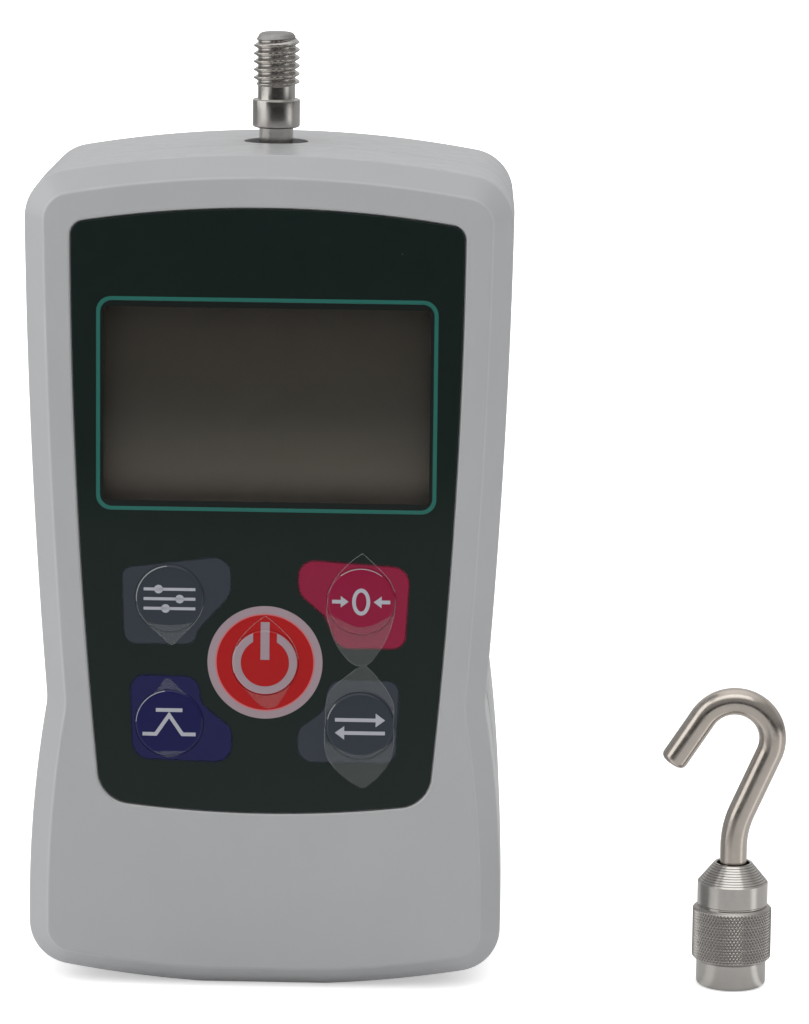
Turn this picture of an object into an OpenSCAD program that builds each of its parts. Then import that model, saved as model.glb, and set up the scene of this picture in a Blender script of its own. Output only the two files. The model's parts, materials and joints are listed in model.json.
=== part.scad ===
// Digital force gauge for the hand or a test stand, with a swivel hook for its load shaft.
// Millimetres. X to the right of the display, Y from the display to the back, Z up the measuring axis.
// The origin is on the measuring axis, at the lower end of the attachment thread.

/* [Body] */
// Width of the body at its upper end
body_w = 62; // [56:0.5:68]
// How far the front shell's waist lies in on each side
waist_in = 2.9; // [2:0.1:3.4]
// How far the rear shell's waist lies in on each side
rear_waist_in = 2.3; // [1:0.1:2.4]
// How far the foot lies in on each side
foot_in = 0.55; // [0.2:0.05:1]
// Height of the body at its middle
body_h = 107.75; // [97:0.25:118]
// Distance from the power key down to the waist
waist_drop = 5.85; // [3:0.05:8]
// Height of the widest part of the foot
foot_z = 9.8; // [8:0.2:12]
// Height above the top at which the sides would stand upright
side_rise = 4; // [2:0.5:8]
// Radius of the bowed top and bottom ends
end_bow_r = 148; // [120:1:200]
// Width of the flat that the case stands on, in the middle of the bowed bottom
foot_flat = 16; // [10:1:24]
// Radius of the two upper corners
top_corner_r = 6.2; // [5.8:0.1:7]
// Radius of the two lower corners
foot_corner_r = 5.8; // [5.5:0.1:7]
// Radius of the hollow at the waist
waist_r = 8; // [5:0.5:14]
// Depth of the front shell
front_depth = 14; // [13.6:0.2:16]
// Depth of the rear shell
rear_depth = 22; // [21.6:0.2:26]
// Distance from the parting plane back to the measuring axis
axis_back = 5.6; // [5.4:0.1:6.2]
// Width of the bevel round the display face
bevel_w = 2.7; // [2:0.1:3.2]
// Depth of the bevel round the display face
bevel_d = 3; // [2:0.1:3.4]
// Wall thickness of both shells
wall = 2.2; // [2:0.1:2.6]
// Taper of the front shell from its bevel to the parting plane
front_taper = 0.02; // [0:0.02:0.3]
// Taper of the rear shell from the parting plane to the back
rear_taper = 0.4; // [0.2:0.1:1]
// Radius of the rear edge
rear_edge_r = 2; // [1.4:0.1:2.4]
// Depth and width of the groove along the parting line
seam = 0.3; // [0.2:0.05:0.5]
// Height of the lip that locates the shells
lip_h = 0.8; // [0.5:0.05:0.85]

/* [Overlay and window] */
// Flat border beside the overlay
overlay_side = 3.45; // [2.6:0.05:4]
// Flat border above the overlay
overlay_top = 3.8; // [2.6:0.1:4.5]
// Distance from the power key to the overlay's lower edge
overlay_drop = 19.75; // [17:0.05:21]
// How far the overlay's lower end lies in on each side
overlay_low_in = 4.05; // [3:0.05:5]
// Radius of the overlay's upper corners
overlay_top_r = 1.8; // [1:0.1:3]
// Radius of the overlay's lower corners
overlay_low_r = 4.3; // [3:0.1:6]
// Thickness of the overlay film
film_t = 0.4; // [0.3:0.05:0.5]
// Depth of the overlay's recess
recess_d = 0.5; // [0.45:0.05:0.7]
// Border of the overlay beside the display's printed frame
window_side = 3.25; // [3:0.05:5]
// Height of the printed frame round the display
window_h = 27.4; // [25:0.2:27.6]
// Border of the overlay above the display's printed frame
window_drop = 11.3; // [10.6:0.1:12]
// Width of the printed line of the frame
frame_line = 0.55; // [0.4:0.05:0.8]
// Corner radius of the window
window_r = 1.5; // [0.8:0.1:2]

/* [Keys] */
// Diameter of the four function keys
key_d = 8.75; // [8:0.05:9.4]
// Diameter of the power key
power_key_d = 8.5; // [8:0.05:9.4]
// Sideways distance between the function keys
key_pitch_x = 24.4; // [22:0.2:26]
// Upright distance between the function keys
key_pitch_z = 16.25; // [15:0.25:18]
// Distance from the display's printed frame down to the power key
key_drop = 19.5; // [19:0.05:20.5]
// Height of the crown on a key
key_crown = 0.3; // [0.15:0.05:0.5]
// Diameter of a key's stem
key_stem_d = 3.2; // [2.6:0.1:3.6]
// Travel of a key
key_travel = 0.4; // [0.2:0.05:0.5]

/* [Load shaft] */
// Nominal diameter of the attachment thread
thread_d = 6; // [5:0.5:8]
// Pitch of the attachment thread
thread_pitch = 1; // [0.8:0.1:1.25]
// Length of the attachment thread
thread_len = 6.5; // [5:0.5:10]
// Length of the plain tip above the thread
tip_len = 0.9; // [0.5:0.1:1.2]
// Height of the relief below the thread
relief_h = 2.1; // [1:0.1:3]
// Diameter of the collar
collar_d = 6.22; // [6.22:0.02:7.6]
// Height of the collar
collar_h = 3.6; // [2:0.1:6]
// Gap between the collar and the body
collar_gap = 1.65; // [1.2:0.05:3]
// Diameter of the neck
neck_d = 4.4; // [4.3:0.1:5]
// Diameter of the stud in the load cell
stud_d = 4; // [3:0.5:4]
// Diameter of the hole in the top of the body
hole_d = 8.2; // [7.6:0.1:8.6]

/* [Load cell] */
// Width of the load cell
cell_w = 26; // [22:0.5:28]
// Depth of the load cell
cell_d = 13; // [11:0.5:13.4]
// Height of the load cell
cell_h = 34; // [30:0.5:35]
// Thickness of its upper and lower arms
cell_arm = 6; // [5:0.5:7]
// Height of its two slots
cell_slot = 2; // [1.6:0.1:2.4]
// Width left beside a slot
cell_web = 5; // [4:0.25:6]
// Radius of the two lobes of its middle opening
cell_lobe_r = 4; // [3:0.25:5]
// Distance between the lobes
cell_lobe_pitch = 8; // [6:0.5:9]
// Distance from the top of the body down to the cell
cell_drop = 13.75; // [12.5:0.25:15]
// Thickness of the bracket's shelf and flange
bracket_t = 2.5; // [2:0.1:3]
// Space beside the bracket
bracket_side = 8.3; // [7:0.1:9]
// Height of the bracket's flange above its shelf
bracket_h = 24; // [22:0.5:25]

/* [Power and board] */
// Space beside the board at the waist
board_side = 2.4; // [2:0.1:3.4]
// Thickness of the board
board_t = 1.6; // [1.2:0.1:2]
// Distance from the parting plane forward to the board's back
board_gap = 3.3; // [3.2:0.1:4]
// Diameter of a rechargeable cell
battery_d = 10.5; // [9.5:0.1:10.8]
// Space below the rechargeable cells
battery_foot = 7.4; // [7:0.1:11]
// Thickness of the sleeve round the cells
sleeve_t = 0.25; // [0.15:0.05:0.3]
// Width of the charge socket
socket_w = 9; // [8:0.1:10]
// Thickness of the charge socket
socket_t = 3.2; // [3:0.05:3.25]
// Distance from the display's middle down to the charge socket
socket_drop = 6.3; // [-2:0.1:9]

/* [Fastenings] */
// Diameter of the case and bracket screws
case_screw_d = 3; // [2.5:0.1:3.2]
// Diameter of the board screws
board_screw_d = 2; // [1.6:0.1:2.2]
// Diameter of the thread in the stand inserts
insert_thread_d = 2.5; // [2:0.1:3]
// Distance from the rear shell's waist in to the stand inserts
insert_side = 7.7; // [7.6:0.1:9]
// Upright distance between the stand inserts
insert_pitch_z = 50; // [48:0.5:52]
// Distance from the top of the body down to the upper stand inserts
insert_drop = 17.75; // [16:0.25:19]

/* [Hook] */
// Distance from the measuring axis sideways to the hook
hook_x = 60.5; // [52:0.5:90]
// Distance from the measuring axis forward to the hook
hook_y = 12.8; // [0:0.2:20]
// Diameter of the hook's wire
wire_d = 3.5; // [3:0.1:3.6]
// Diameter of the opening that the wire swivels in
swivel_d = 4.3; // [4.2:0.05:4.4]
// Diameter of the wire's head inside the adapter
head_d = 4.9; // [4.7:0.05:5]
// Diameter of the adapter's base
base_d = 9; // [8.6:0.1:9.6]
// Height of the adapter's base
base_h = 3.35; // [2:0.05:5]
// Diameter of the knurled band
knurl_d = 10.2; // [9.8:0.1:12]
// Height of the knurled band
knurl_h = 7.2; // [6:0.1:10]
// Diameter of the adapter's upper end
upper_d = 9.1; // [8.6:0.1:9.6]
// Height of the adapter's upper end
upper_h = 3.1; // [2:0.1:5]
// Height of the adapter's cone
cone_h = 2.55; // [1.5:0.05:4]
// Width of the rim round the swivel opening
rim_w = 0.3; // [0.2:0.05:0.6]
// Radius of the hook's bowl at the wire's middle
bowl_r = 4.9; // [4:0.1:6]
// Distance of the bowl's middle left of the shank
bowl_shift = 0.2; // [0:0.1:1.5]
// Lean of the shank below the bowl
shank_lean = 23.5; // [20:0.5:32]
// Radius of the bend above the adapter
bend_r = 12; // [8:0.5:16]
// Lean of the hook's open leg
leg_lean = 33; // [20:1:50]
// Length of the hook's open leg
leg_len = 7.2; // [4:0.1:9]
// Height of the bowl's middle above the adapter
bowl_rise = 16.4; // [15.5:0.1:20]

/* [Hidden] */
$fn = 64;

// Clearances
fit_gap = 0.05;
film_gap = 0.15;
slide_gap = 0.3;
lip_gap = 0.1;
pass = 1;
key_well = 1.5;

// Widths, and heights above the floor
waist_w = body_w - 2 * waist_in;
rear_waist_w = body_w - 2 * rear_waist_in;
foot_w = body_w - 2 * foot_in;
overlay_half_w = body_w / 2 - bevel_w - overlay_side;
overlay_low_w = 2 * (overlay_half_w - overlay_low_in);
overlay_top_z = body_h - bevel_w - overlay_top;
window_w = 2 * (overlay_half_w - window_side);
window_z = overlay_top_z - window_drop - window_h / 2;
key_mid_z = window_z - window_h / 2 - key_drop;
overlay_low_z = key_mid_z - overlay_drop;
waist_z = key_mid_z - waist_drop;
board_w = waist_w - 2 * (wall + board_side);
bracket_w = body_w - 2 * (wall + bracket_side);
socket_z = window_z - socket_drop;
insert_pitch_x = rear_waist_w - 2 * insert_side;
insert_low_z = body_h - insert_drop - insert_pitch_z;

// Depths, counted from the measuring axis
parting_y = -axis_back;
front_y = parting_y - front_depth;
back_y = parting_y + rear_depth;
front_in_y = front_y + wall;
back_in_y = back_y - wall;
recess_y = front_y + recess_d;
film_y = recess_y - film_t;
key_floor_y = front_y + key_well;
board_back_y = parting_y - board_gap;
board_front_y = board_back_y - board_t;

// Outline of the body: arcs as [centre, radius, sense, steps] from the foot's middle to the top's middle.
// The sense is 1 for an arc that bulges outwards and -1 for the hollow at the waist.
OUT = 1;
HOLLOW = -1;
END_STEPS = 8;
CORNER_STEPS = 7;
LOW_STEPS = 8;
WAIST_STEPS = 5;
HIGH_STEPS = 14;
// Points closer to the middle line than this have no mirrored twin
ON_AXIS = 0.001;

function bearing(v, sense) = sense == OUT ? atan2(v[1], v[0]) : (atan2(v[1], v[0]) + 360) % 360;
function bow(apex, r, up, flat = 0) =
    [[0, apex - up * sqrt(r * r - flat * flat / 4)], r, OUT, END_STEPS, flat / 2];
function flank(half_w, z_wide, half_narrow, z_narrow, steps) =
    let (dx = half_w - half_narrow, dz = z_wide - z_narrow, r = (dx * dx + dz * dz) / (2 * dx))
    [[half_w - r, z_wide], r, OUT, steps];
function meet(c1, r1, c2, r2, side) =
    let (gap = c2 - c1, d = norm(gap), along = (r1 * r1 - r2 * r2 + d * d) / (2 * d))
    let (off = sqrt(max(0, r1 * r1 - along * along)), u = gap / d)
    c1 + along * u + side * off * [-u[1], u[0]];
function nestle(a, b, r, sense, steps) =
    [meet(a[0], a[1] - sense * r, b[0], b[1] - sense * r, sense), r, sense, steps];
function touch(a, b) =
    let (u = (b[0] - a[0]) / norm(b[0] - a[0]))
    a[0] + a[1] * (a[2] == b[2] && a[1] < b[1] ? -u : u);
function half_outline(arcs, inset) =
    let (last = len(arcs) - 1)
    [
        for (i = [0:last])
            let (arc = arcs[i])
            let (a0 = i == 0 ? asin(arc[4] / arc[1]) - 90 : bearing(touch(arcs[i - 1], arc) - arc[0], arc[2]))
            let (a1 = i == last ? 90 : bearing(touch(arc, arcs[i + 1]) - arc[0], arc[2]))
            let (r = arc[1] - arc[2] * inset)
            for (k = [0:arc[3] - (i == last ? 0 : 1)])
                let (a = a0 + (a1 - a0) * k / arc[3])
                arc[0] + r * [cos(a), sin(a)]
    ];
function outline(arcs, inset) =
    let (half = half_outline(arcs, inset), last = len(half) - 1)
    concat(half, [for (i = [last - 1:-1:0]) if (half[i][0] > ON_AXIS) [-half[i][0], half[i][1]]]);

side_top_z = body_h + side_rise;
function body_arcs(low_waist) =
    let (bottom = bow(0, end_bow_r, -1, foot_flat))
    let (low = flank(foot_w / 2, foot_z, low_waist / 2, waist_z, LOW_STEPS))
    let (high = flank(body_w / 2, side_top_z, waist_w / 2, waist_z, HIGH_STEPS))
    let (top = bow(body_h, end_bow_r, 1))
    [
        bottom,
        nestle(bottom, low, foot_corner_r, OUT, CORNER_STEPS),
        low,
        nestle(low, high, waist_r, HOLLOW, WAIST_STEPS),
        high,
        nestle(high, top, top_corner_r, OUT, CORNER_STEPS),
        top
    ];
front_arcs = body_arcs(waist_w);
foot_corner = front_arcs[1][0];
top_corner = front_arcs[5][0];

overlay_bottom = bow(overlay_low_z, end_bow_r, -1);
overlay_flank = flank(overlay_half_w, overlay_top_z, overlay_low_w / 2, overlay_low_z, HIGH_STEPS);
overlay_crown = bow(overlay_top_z, end_bow_r, 1);
overlay_arcs = [
    overlay_bottom,
    nestle(overlay_bottom, overlay_flank, overlay_low_r, OUT, CORNER_STEPS),
    overlay_flank,
    nestle(overlay_flank, overlay_crown, overlay_top_r, OUT, CORNER_STEPS),
    overlay_crown
];

// Sections of the shells, and the solid that joins a row of them
function section(y, inset, arcs) = [for (p = outline(arcs, inset)) [p[0], y, p[1]]];

module loft(sections) {
    n = len(sections[0]);
    last = len(sections) - 1;
    sides = [
        for (k = [0:last - 1])
            for (i = [0:n - 1])
                let (a = k * n + i, b = k * n + (i + 1) % n)
                each [[a, b, b + n], [a, b + n, a + n]]
    ];
    front = [for (i = [n - 1:-1:0]) i];
    back = [for (i = [0:n - 1]) last * n + i];
    polyhedron(points = [for (s = sections) each s], faces = concat(sides, [front], [back]), convexity = 6);
}

// Helpers that lay flat shapes and round bars along the depth
module slab(y0, y1) {
    translate([0, y1, 0])
        rotate([90, 0, 0])
            linear_extrude(y1 - y0)
                children();
}

module bar(x, z, y0, y1, r) {
    translate([x, y0, z])
        rotate([-90, 0, 0])
            cylinder(h = y1 - y0, r = r);
}

module round_rect(w, h, r) {
    square([w - 2 * r, h], center = true);
    square([w, h - 2 * r], center = true);
    for (sx = [-1, 1])
        for (sy = [-1, 1])
            translate([sx * (w / 2 - r), sy * (h / 2 - r)])
                circle(r);
}

module stadium(length, t) {
    square([length - t, t], center = true);
    for (s = [-1, 1])
        translate([s * (length - t) / 2, 0])
            circle(d = t);
}

module lead(route, r) {
    for (i = [0:len(route) - 2]) {
        step = route[i + 1] - route[i];
        translate(route[i])
            rotate([0, acos(step[2] / norm(step)), atan2(step[1], step[0])])
                cylinder(h = norm(step), r = r);
        if (i > 0)
            translate(route[i])
                sphere(r + lead_knee);
    }
}

// A screw whose head stands above the seat at its own zero height, sized from its diameter
screw_head_h = 0.7;
screw_head_d = 1.8;
screw_key_d = 0.9;

module screw(d, length) {
    cap_h = screw_head_h * d;
    difference() {
        union() {
            cylinder(h = cap_h, d = screw_head_d * d);
            translate([0, 0, -length])
                cylinder(h = length + cap_h / 2, d = d);
        }
        translate([0, 0, cap_h / 2])
            cylinder(h = cap_h, d = screw_key_d * d, $fn = 6);
    }
}

// Places
case_places = [
    [-top_corner[0], top_corner[1]],
    top_corner,
    [-foot_corner[0], foot_corner[1]],
    foot_corner
];
board_foot_gap = 6.4;
board_top_gap = 3.6;
high_post_edge = 4.5;
low_post_edge = 5;
board_low_z = foot_corner[1] + board_foot_gap;
board_high_z = top_corner[1] - board_top_gap;
high_post_x = board_w / 2 - high_post_edge;
high_post_drop = 2.3;
low_post_x = board_w / 2 - low_post_edge;
low_post_rise = 4;
high_post = [high_post_x, board_high_z - high_post_drop];
low_post = [low_post_x, board_low_z + low_post_rise];
post_places = [
    for (sx = [-1, 1])
        for (p = [high_post, low_post])
            [sx * p[0], p[1]]
];
set_place = [-key_pitch_x / 2, key_mid_z + key_pitch_z / 2];
zero_place = [key_pitch_x / 2, key_mid_z + key_pitch_z / 2];
peak_place = [-key_pitch_x / 2, key_mid_z - key_pitch_z / 2];
unit_place = [key_pitch_x / 2, key_mid_z - key_pitch_z / 2];
power_place = [0, key_mid_z];
function_places = [set_place, zero_place, peak_place, unit_place];
key_places = concat(function_places, [power_place]);
insert_places = [
    for (sx = [-1, 1])
        for (row = [0, 1])
            [sx * insert_pitch_x / 2, insert_low_z + row * insert_pitch_z]
];

// Case
case_hole_d = case_screw_d + 2 * fit_gap;
case_seat_depth = 10;
case_seat_y = parting_y + case_seat_depth;
case_screw_len = 16;
case_floor = 2;
post_floor = 1;
window_seat = 1;
case_boss_d = 6.4;
case_tube_d = 8.4;
post_d = 4.4;
window_hole_w = window_w + window_seat;
window_hole_h = window_h + window_seat;
socket_notch = socket_w + 2 * slide_gap;
lip_out = wall / 2 + lip_gap / 2;
lip_in = wall / 2 - lip_gap / 2;

module front_shell() {
    color("#a9acad")
        difference() {
            union() {
                loft([
                    section(front_y, bevel_w, front_arcs),
                    section(front_y + bevel_d, 0, front_arcs),
                    section(parting_y, front_taper, front_arcs),
                    section(parting_y, lip_out, front_arcs),
                    section(parting_y + lip_h, lip_out, front_arcs),
                    section(parting_y + lip_h, wall, front_arcs),
                    section(front_in_y, wall, front_arcs)
                ]);
                for (p = case_places)
                    bar(p[0], p[1], front_in_y - wall / 4, parting_y + lip_h, case_boss_d / 2);
                for (p = post_places)
                    bar(p[0], p[1], front_in_y - wall / 4, board_front_y, post_d / 2);
            }
            slab(front_y - pass, recess_y)
                polygon(outline(overlay_arcs, -film_gap));
            slab(front_y - pass, front_in_y + pass)
                translate([0, window_z])
                    round_rect(window_hole_w, window_hole_h, window_r);
            for (p = function_places)
                bar(p[0], p[1], front_y - pass, key_floor_y, key_d / 2 + slide_gap);
            bar(power_place[0], power_place[1], front_y - pass, key_floor_y, power_key_d / 2 + slide_gap);
            for (p = key_places)
                bar(p[0], p[1], front_y, front_in_y + pass, key_stem_d / 2 + slide_gap);
            for (p = case_places)
                bar(p[0], p[1], front_in_y + case_floor, parting_y + lip_h + pass, case_hole_d / 2);
            for (p = post_places)
                bar(p[0], p[1], front_in_y + post_floor, board_front_y + pass, board_screw_d / 2 + fit_gap);
            translate([-body_w, board_back_y - slide_gap, socket_z - socket_notch / 2])
                cube([body_w - board_w / 2 + pass, -lip_gap - board_back_y, socket_notch]);
        }
}

// Round rear edge as steps of [fraction of its radius forward of the back, fraction inwards]
rear_round = [for (a = [0:22.5:90]) [1 - sin(a), 1 - cos(a)]];
insert_d = 4.6;
insert_len = 5;
insert_boss_d = 7.4;
bracket_boss_d = 6.4;
cell_top_z = body_h - cell_drop;
cell_low_z = cell_top_z - cell_h;
shelf_z = cell_low_z - bracket_t;
flange_gap = 2.5;
flange_y = cell_d / 2 + flange_gap;
flange_back_y = flange_y + bracket_t;
bracket_edge = 3.5;
bracket_bite = 3.6;
bracket_rows = [0.22, 0.8];
bracket_places = [
    for (sx = [-1, 1])
        for (row = bracket_rows)
            [sx * (bracket_w / 2 - bracket_edge), cell_low_z + row * bracket_h]
];
bracket_screw_len = bracket_t + bracket_bite;
insert_floor = 1;
insert_boss_y = back_y - insert_len - insert_floor;
bracket_hole_y = flange_y + bracket_screw_len + slide_gap;

module rear_shell() {
    rear_arcs = body_arcs(rear_waist_w);
    color("#b4b7b8")
        difference() {
            union() {
                loft(concat(
                    [
                        section(back_in_y, wall + rear_taper, front_arcs),
                        section(parting_y + lip_h + lip_gap, wall, front_arcs),
                        section(parting_y + lip_h + lip_gap, lip_in, front_arcs),
                        section(parting_y, lip_in, front_arcs),
                        section(parting_y, front_taper + seam, front_arcs),
                        section(parting_y + seam, front_taper + seam, front_arcs),
                        section(parting_y + seam, front_taper, rear_arcs)
                    ],
                    [
                        for (s = rear_round)
                            section(back_y - rear_edge_r * s[0], rear_taper + rear_edge_r * s[1], rear_arcs)
                    ]
                ));
                for (p = case_places)
                    bar(p[0], p[1], parting_y + lip_h + lip_gap, back_in_y + wall / 4, case_tube_d / 2);
                for (p = bracket_places)
                    bar(p[0], p[1], flange_back_y, back_in_y + wall / 4, bracket_boss_d / 2);
                for (p = insert_places)
                    bar(p[0], p[1], insert_boss_y, back_in_y + wall / 4, insert_boss_d / 2);
            }
            translate([0, 0, body_h - 4 * wall])
                cylinder(h = 8 * wall, d = hole_d);
            for (p = case_places) {
                bar(p[0], p[1], parting_y - pass, back_y, case_screw_d / 2 + fit_gap);
                bar(p[0], p[1], case_seat_y, back_y + pass, case_screw_d);
            }
            for (p = bracket_places)
                bar(p[0], p[1], flange_back_y - pass, bracket_hole_y, case_hole_d / 2);
            for (p = insert_places)
                bar(p[0], p[1], back_y - insert_len, back_y + pass, insert_d / 2 + fit_gap);
        }
}

module case_screws() {
    color("#3f4346")
        for (p = case_places)
            translate([p[0], case_seat_y, p[1]])
                rotate([-90, 0, 0])
                    screw(case_screw_d, case_screw_len);
}

module stand_inserts() {
    color("#b08d4a")
        for (p = insert_places)
            difference() {
                bar(p[0], p[1], back_y - insert_len, back_y, insert_d / 2);
                bar(p[0], p[1], back_y - insert_len - pass, back_y + pass, insert_thread_d / 2);
            }
}

// Overlay and window
window_in_w = window_w - 2 * frame_line;
window_in_h = window_h - 2 * frame_line;

module keypad_overlay() {
    color("#1b2422")
        slab(film_y, recess_y)
            difference() {
                polygon(outline(overlay_arcs, 0));
                translate([0, window_z])
                    round_rect(window_in_w, window_in_h, window_r);
                for (p = function_places)
                    translate(p)
                        circle(d = key_d + 2 * film_gap);
                translate(power_place)
                    circle(d = power_key_d + 2 * film_gap);
            }
}

module display_window() {
    color("#8d8f88", 0.4)
        translate([0, 0, window_z]) {
            slab(film_y, recess_y)
                round_rect(window_in_w - 2 * fit_gap, window_in_h - 2 * fit_gap, window_r - fit_gap);
            slab(recess_y, front_in_y)
                round_rect(window_hole_w - 2 * fit_gap, window_hole_h - 2 * fit_gap, window_r - fit_gap);
        }
}

// Display
bezel_wall = 1;
bezel_w = window_hole_w + 2 * bezel_wall;
bezel_h = window_hole_h + 1.6 * bezel_wall;
bezel_lip = 0.8;
bezel_y = front_in_y + fit_gap;
lcd_t = 1.8;
lcd_y = bezel_y + bezel_lip;
lcd_back_y = lcd_y + lcd_t;
strip_t = 1.4;
strip_end = 2;
lcd_w = bezel_w - 2 * bezel_wall;
lcd_h = bezel_h - 2 * bezel_wall;

module lcd_bezel() {
    color("#2b2d2f")
        translate([0, 0, window_z])
            difference() {
                slab(bezel_y, board_front_y)
                    round_rect(bezel_w, bezel_h, bezel_wall);
                slab(bezel_y - pass, board_front_y + pass)
                    square([window_in_w, window_in_h], center = true);
                slab(lcd_y, board_front_y + pass)
                    square([lcd_w, lcd_h], center = true);
            }
}

module lcd_panel() {
    color("#4a463f")
        translate([0, 0, window_z])
            slab(lcd_y, lcd_back_y)
                square([lcd_w - 2 * fit_gap, lcd_h - 2 * fit_gap], center = true);
}

module contact_strips() {
    color("#d8a8a0")
        for (s = [-1, 1])
            translate([0, 0, window_z + s * (lcd_h / 2 - strip_t)])
                slab(lcd_back_y, board_front_y)
                    square([window_in_w - 2 * strip_end, strip_t], center = true);
}

module backlight_diffuser() {
    color("#e8e8e2")
        translate([0, 0, window_z])
            slab(lcd_back_y, board_front_y)
                square([window_in_w, lcd_h - 5 * strip_t], center = true);
}

// Board
switch_w = 6;
switch_h = 3.6;
switch_y = board_front_y - switch_h;
plunger_d = 3.4;
plunger_h = 0.9;
plunger_sunk = 0.5;
plunger_y = switch_y - plunger_h;
// Lower left corner and size of each chip on the board's back
chip_t = 1.5;
chip_drop = 14;
chip_z = key_mid_z - chip_drop;
converter_z = cell_low_z + 6;
chips = [
    [[-2, chip_z], [10, 10]],
    [[12, chip_z + 2], [4, 8]],
    [[-4, converter_z], [6, 5]],
    [[6, converter_z + 1], [5, 4]]
];
battery_plug_edge = 9.5;
cell_plug_edge = 6.5;
battery_plug = [battery_plug_edge - board_w / 2, key_mid_z + 3];
cell_plug = [cell_plug_edge - board_w / 2, cell_low_z + 8];
plug_w = 5;
plug_h = 4;
plug_t = 2.6;
board_screw_len = 5;
socket_lap = 1.7;

module main_board() {
    color("#2f6b45")
        difference() {
            translate([-board_w / 2, board_front_y, board_low_z])
                cube([board_w, board_t, board_high_z - board_low_z]);
            for (p = post_places)
                bar(p[0], p[1], board_front_y - pass, board_back_y + pass, board_screw_d / 2 + fit_gap);
        }
}

module board_chips() {
    color("#26282a")
        for (c = chips)
            translate([c[0][0], board_back_y, c[0][1]])
                cube([c[1][0], chip_t, c[1][1]]);
}

module lead_connectors() {
    color("#ded9cb")
        for (p = [battery_plug, cell_plug])
            translate([p[0] - plug_w / 2, board_back_y, p[1] - plug_h / 2])
                cube([plug_w, plug_t, plug_h]);
}

module tact_switches() {
    color("#1f2123")
        for (p = key_places)
            difference() {
                translate([p[0] - switch_w / 2, switch_y, p[1] - switch_w / 2])
                    cube([switch_w, switch_h, switch_w]);
                bar(p[0], p[1], switch_y - pass, switch_y + plunger_sunk + key_travel + slide_gap,
                    plunger_d / 2 + slide_gap);
            }
}

module board_screws() {
    color("#8f9498")
        for (p = post_places)
            translate([p[0], board_back_y, p[1]])
                rotate([-90, 0, 0])
                    screw(board_screw_d, board_screw_len);
}

// A socket shell with its tongue, mouth to the left, soldered to the board's back
module charge_socket() {
    mouth_x = -body_w / 2 + wall;
    length = -board_w / 2 - mouth_x + socket_lap;
    shell_t = 0.35;
    end_t = 1;
    tongue_back = 0.5;
    color("#b9bcbe")
        translate([mouth_x, board_back_y + socket_t / 2, socket_z])
            rotate([0, 90, 0]) {
                difference() {
                    linear_extrude(length)
                        stadium(socket_w, socket_t);
                    translate([0, 0, -pass])
                        linear_extrude(length - end_t + pass)
                            stadium(socket_w - 2 * shell_t, socket_t - 2 * shell_t);
                }
                translate([-socket_w / 2 + socket_t / 2, -shell_t, end_t])
                    cube([socket_w - socket_t, 2 * shell_t, length - end_t - tongue_back]);
            }
}

// Keys, each a crowned cap on a stem that reaches its switch
key_cap_t = 0.6;
CROWN_FACETS = 256;

module key(place, d) {
    crown_r = (d * d / 4 + key_crown * key_crown) / (2 * key_crown);
    translate([place[0], 0, place[1]]) {
        intersection() {
            bar(0, 0, film_y - key_crown, film_y + key_cap_t, d / 2);
            translate([0, film_y - key_crown + crown_r, 0])
                sphere(crown_r, $fn = CROWN_FACETS);
        }
        bar(0, 0, film_y + key_cap_t - fit_gap, plunger_y, key_stem_d / 2);
    }
}

module plunger(place) {
    bar(place[0], place[1], plunger_y, switch_y + plunger_sunk, plunger_d / 2);
}

module set_key() {
    color("#3b4048")
        key(set_place, key_d);
}

module zero_key() {
    color("#8a1f3c")
        key(zero_place, key_d);
}

module peak_key() {
    color("#24224e")
        key(peak_place, key_d);
}

module unit_key() {
    color("#3a3f4a")
        key(unit_place, key_d);
}

module power_key() {
    color("#a5181d")
        key(power_place, power_key_d);
}

module set_plunger() {
    color("#c9c4b8")
        plunger(set_place);
}

module zero_plunger() {
    color("#c9c4b8")
        plunger(zero_place);
}

module peak_plunger() {
    color("#c9c4b8")
        plunger(peak_place);
}

module unit_plunger() {
    color("#c9c4b8")
        plunger(unit_place);
}

module power_plunger() {
    color("#c9c4b8")
        plunger(power_place);
}

// Measuring line
collar_low_z = body_h + collar_gap;
seat_z = collar_low_z + collar_h;
thread_low_z = seat_z + relief_h;
tip_z = thread_low_z + thread_len;
thread_play = 0.1;
thread_depth = 0.55 * thread_pitch;
nut_h = 3.2;
nut_d = 8.08;
nut_top_z = cell_top_z + nut_h;
stud_low_z = cell_top_z - cell_arm + slide_gap;

// Half profile of the thread: flat crests just under the nominal size, one to a pitch, with sloping flanks
turns = floor((thread_len - tip_len) / thread_pitch);
crest_r = (thread_d - thread_play) / 2;
root_r = crest_r - thread_depth;
crest = 0.2 * thread_pitch;
thread_flank = 0.4 * thread_pitch;
thread_profile = [
    for (i = [0:turns])
        let (z = thread_low_z + i * thread_pitch)
        each [
            [root_r, z - thread_flank],
            [crest_r, z],
            [crest_r, z + crest]
        ]
];

module load_shaft() {
    color("#c3c6c8")
        rotate_extrude()
            polygon(concat(
                [
                    [0, stud_low_z],
                    [stud_d / 2, stud_low_z],
                    [stud_d / 2, nut_top_z],
                    [neck_d / 2, nut_top_z],
                    [neck_d / 2, collar_low_z],
                    [collar_d / 2, collar_low_z],
                    [collar_d / 2, seat_z],
                    [root_r, seat_z]
                ],
                thread_profile,
                [
                    [root_r, thread_low_z + turns * thread_pitch + crest + thread_flank],
                    [root_r, tip_z],
                    [0, tip_z]
                ]
            ));
}

module lock_nut() {
    color("#9aa0a4")
        translate([0, 0, cell_top_z])
            difference() {
                cylinder(h = nut_h, d = nut_d, $fn = 6);
                translate([0, 0, -pass])
                    cylinder(h = nut_h + 2 * pass, d = stud_d + 2 * fit_gap);
            }
}

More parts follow.
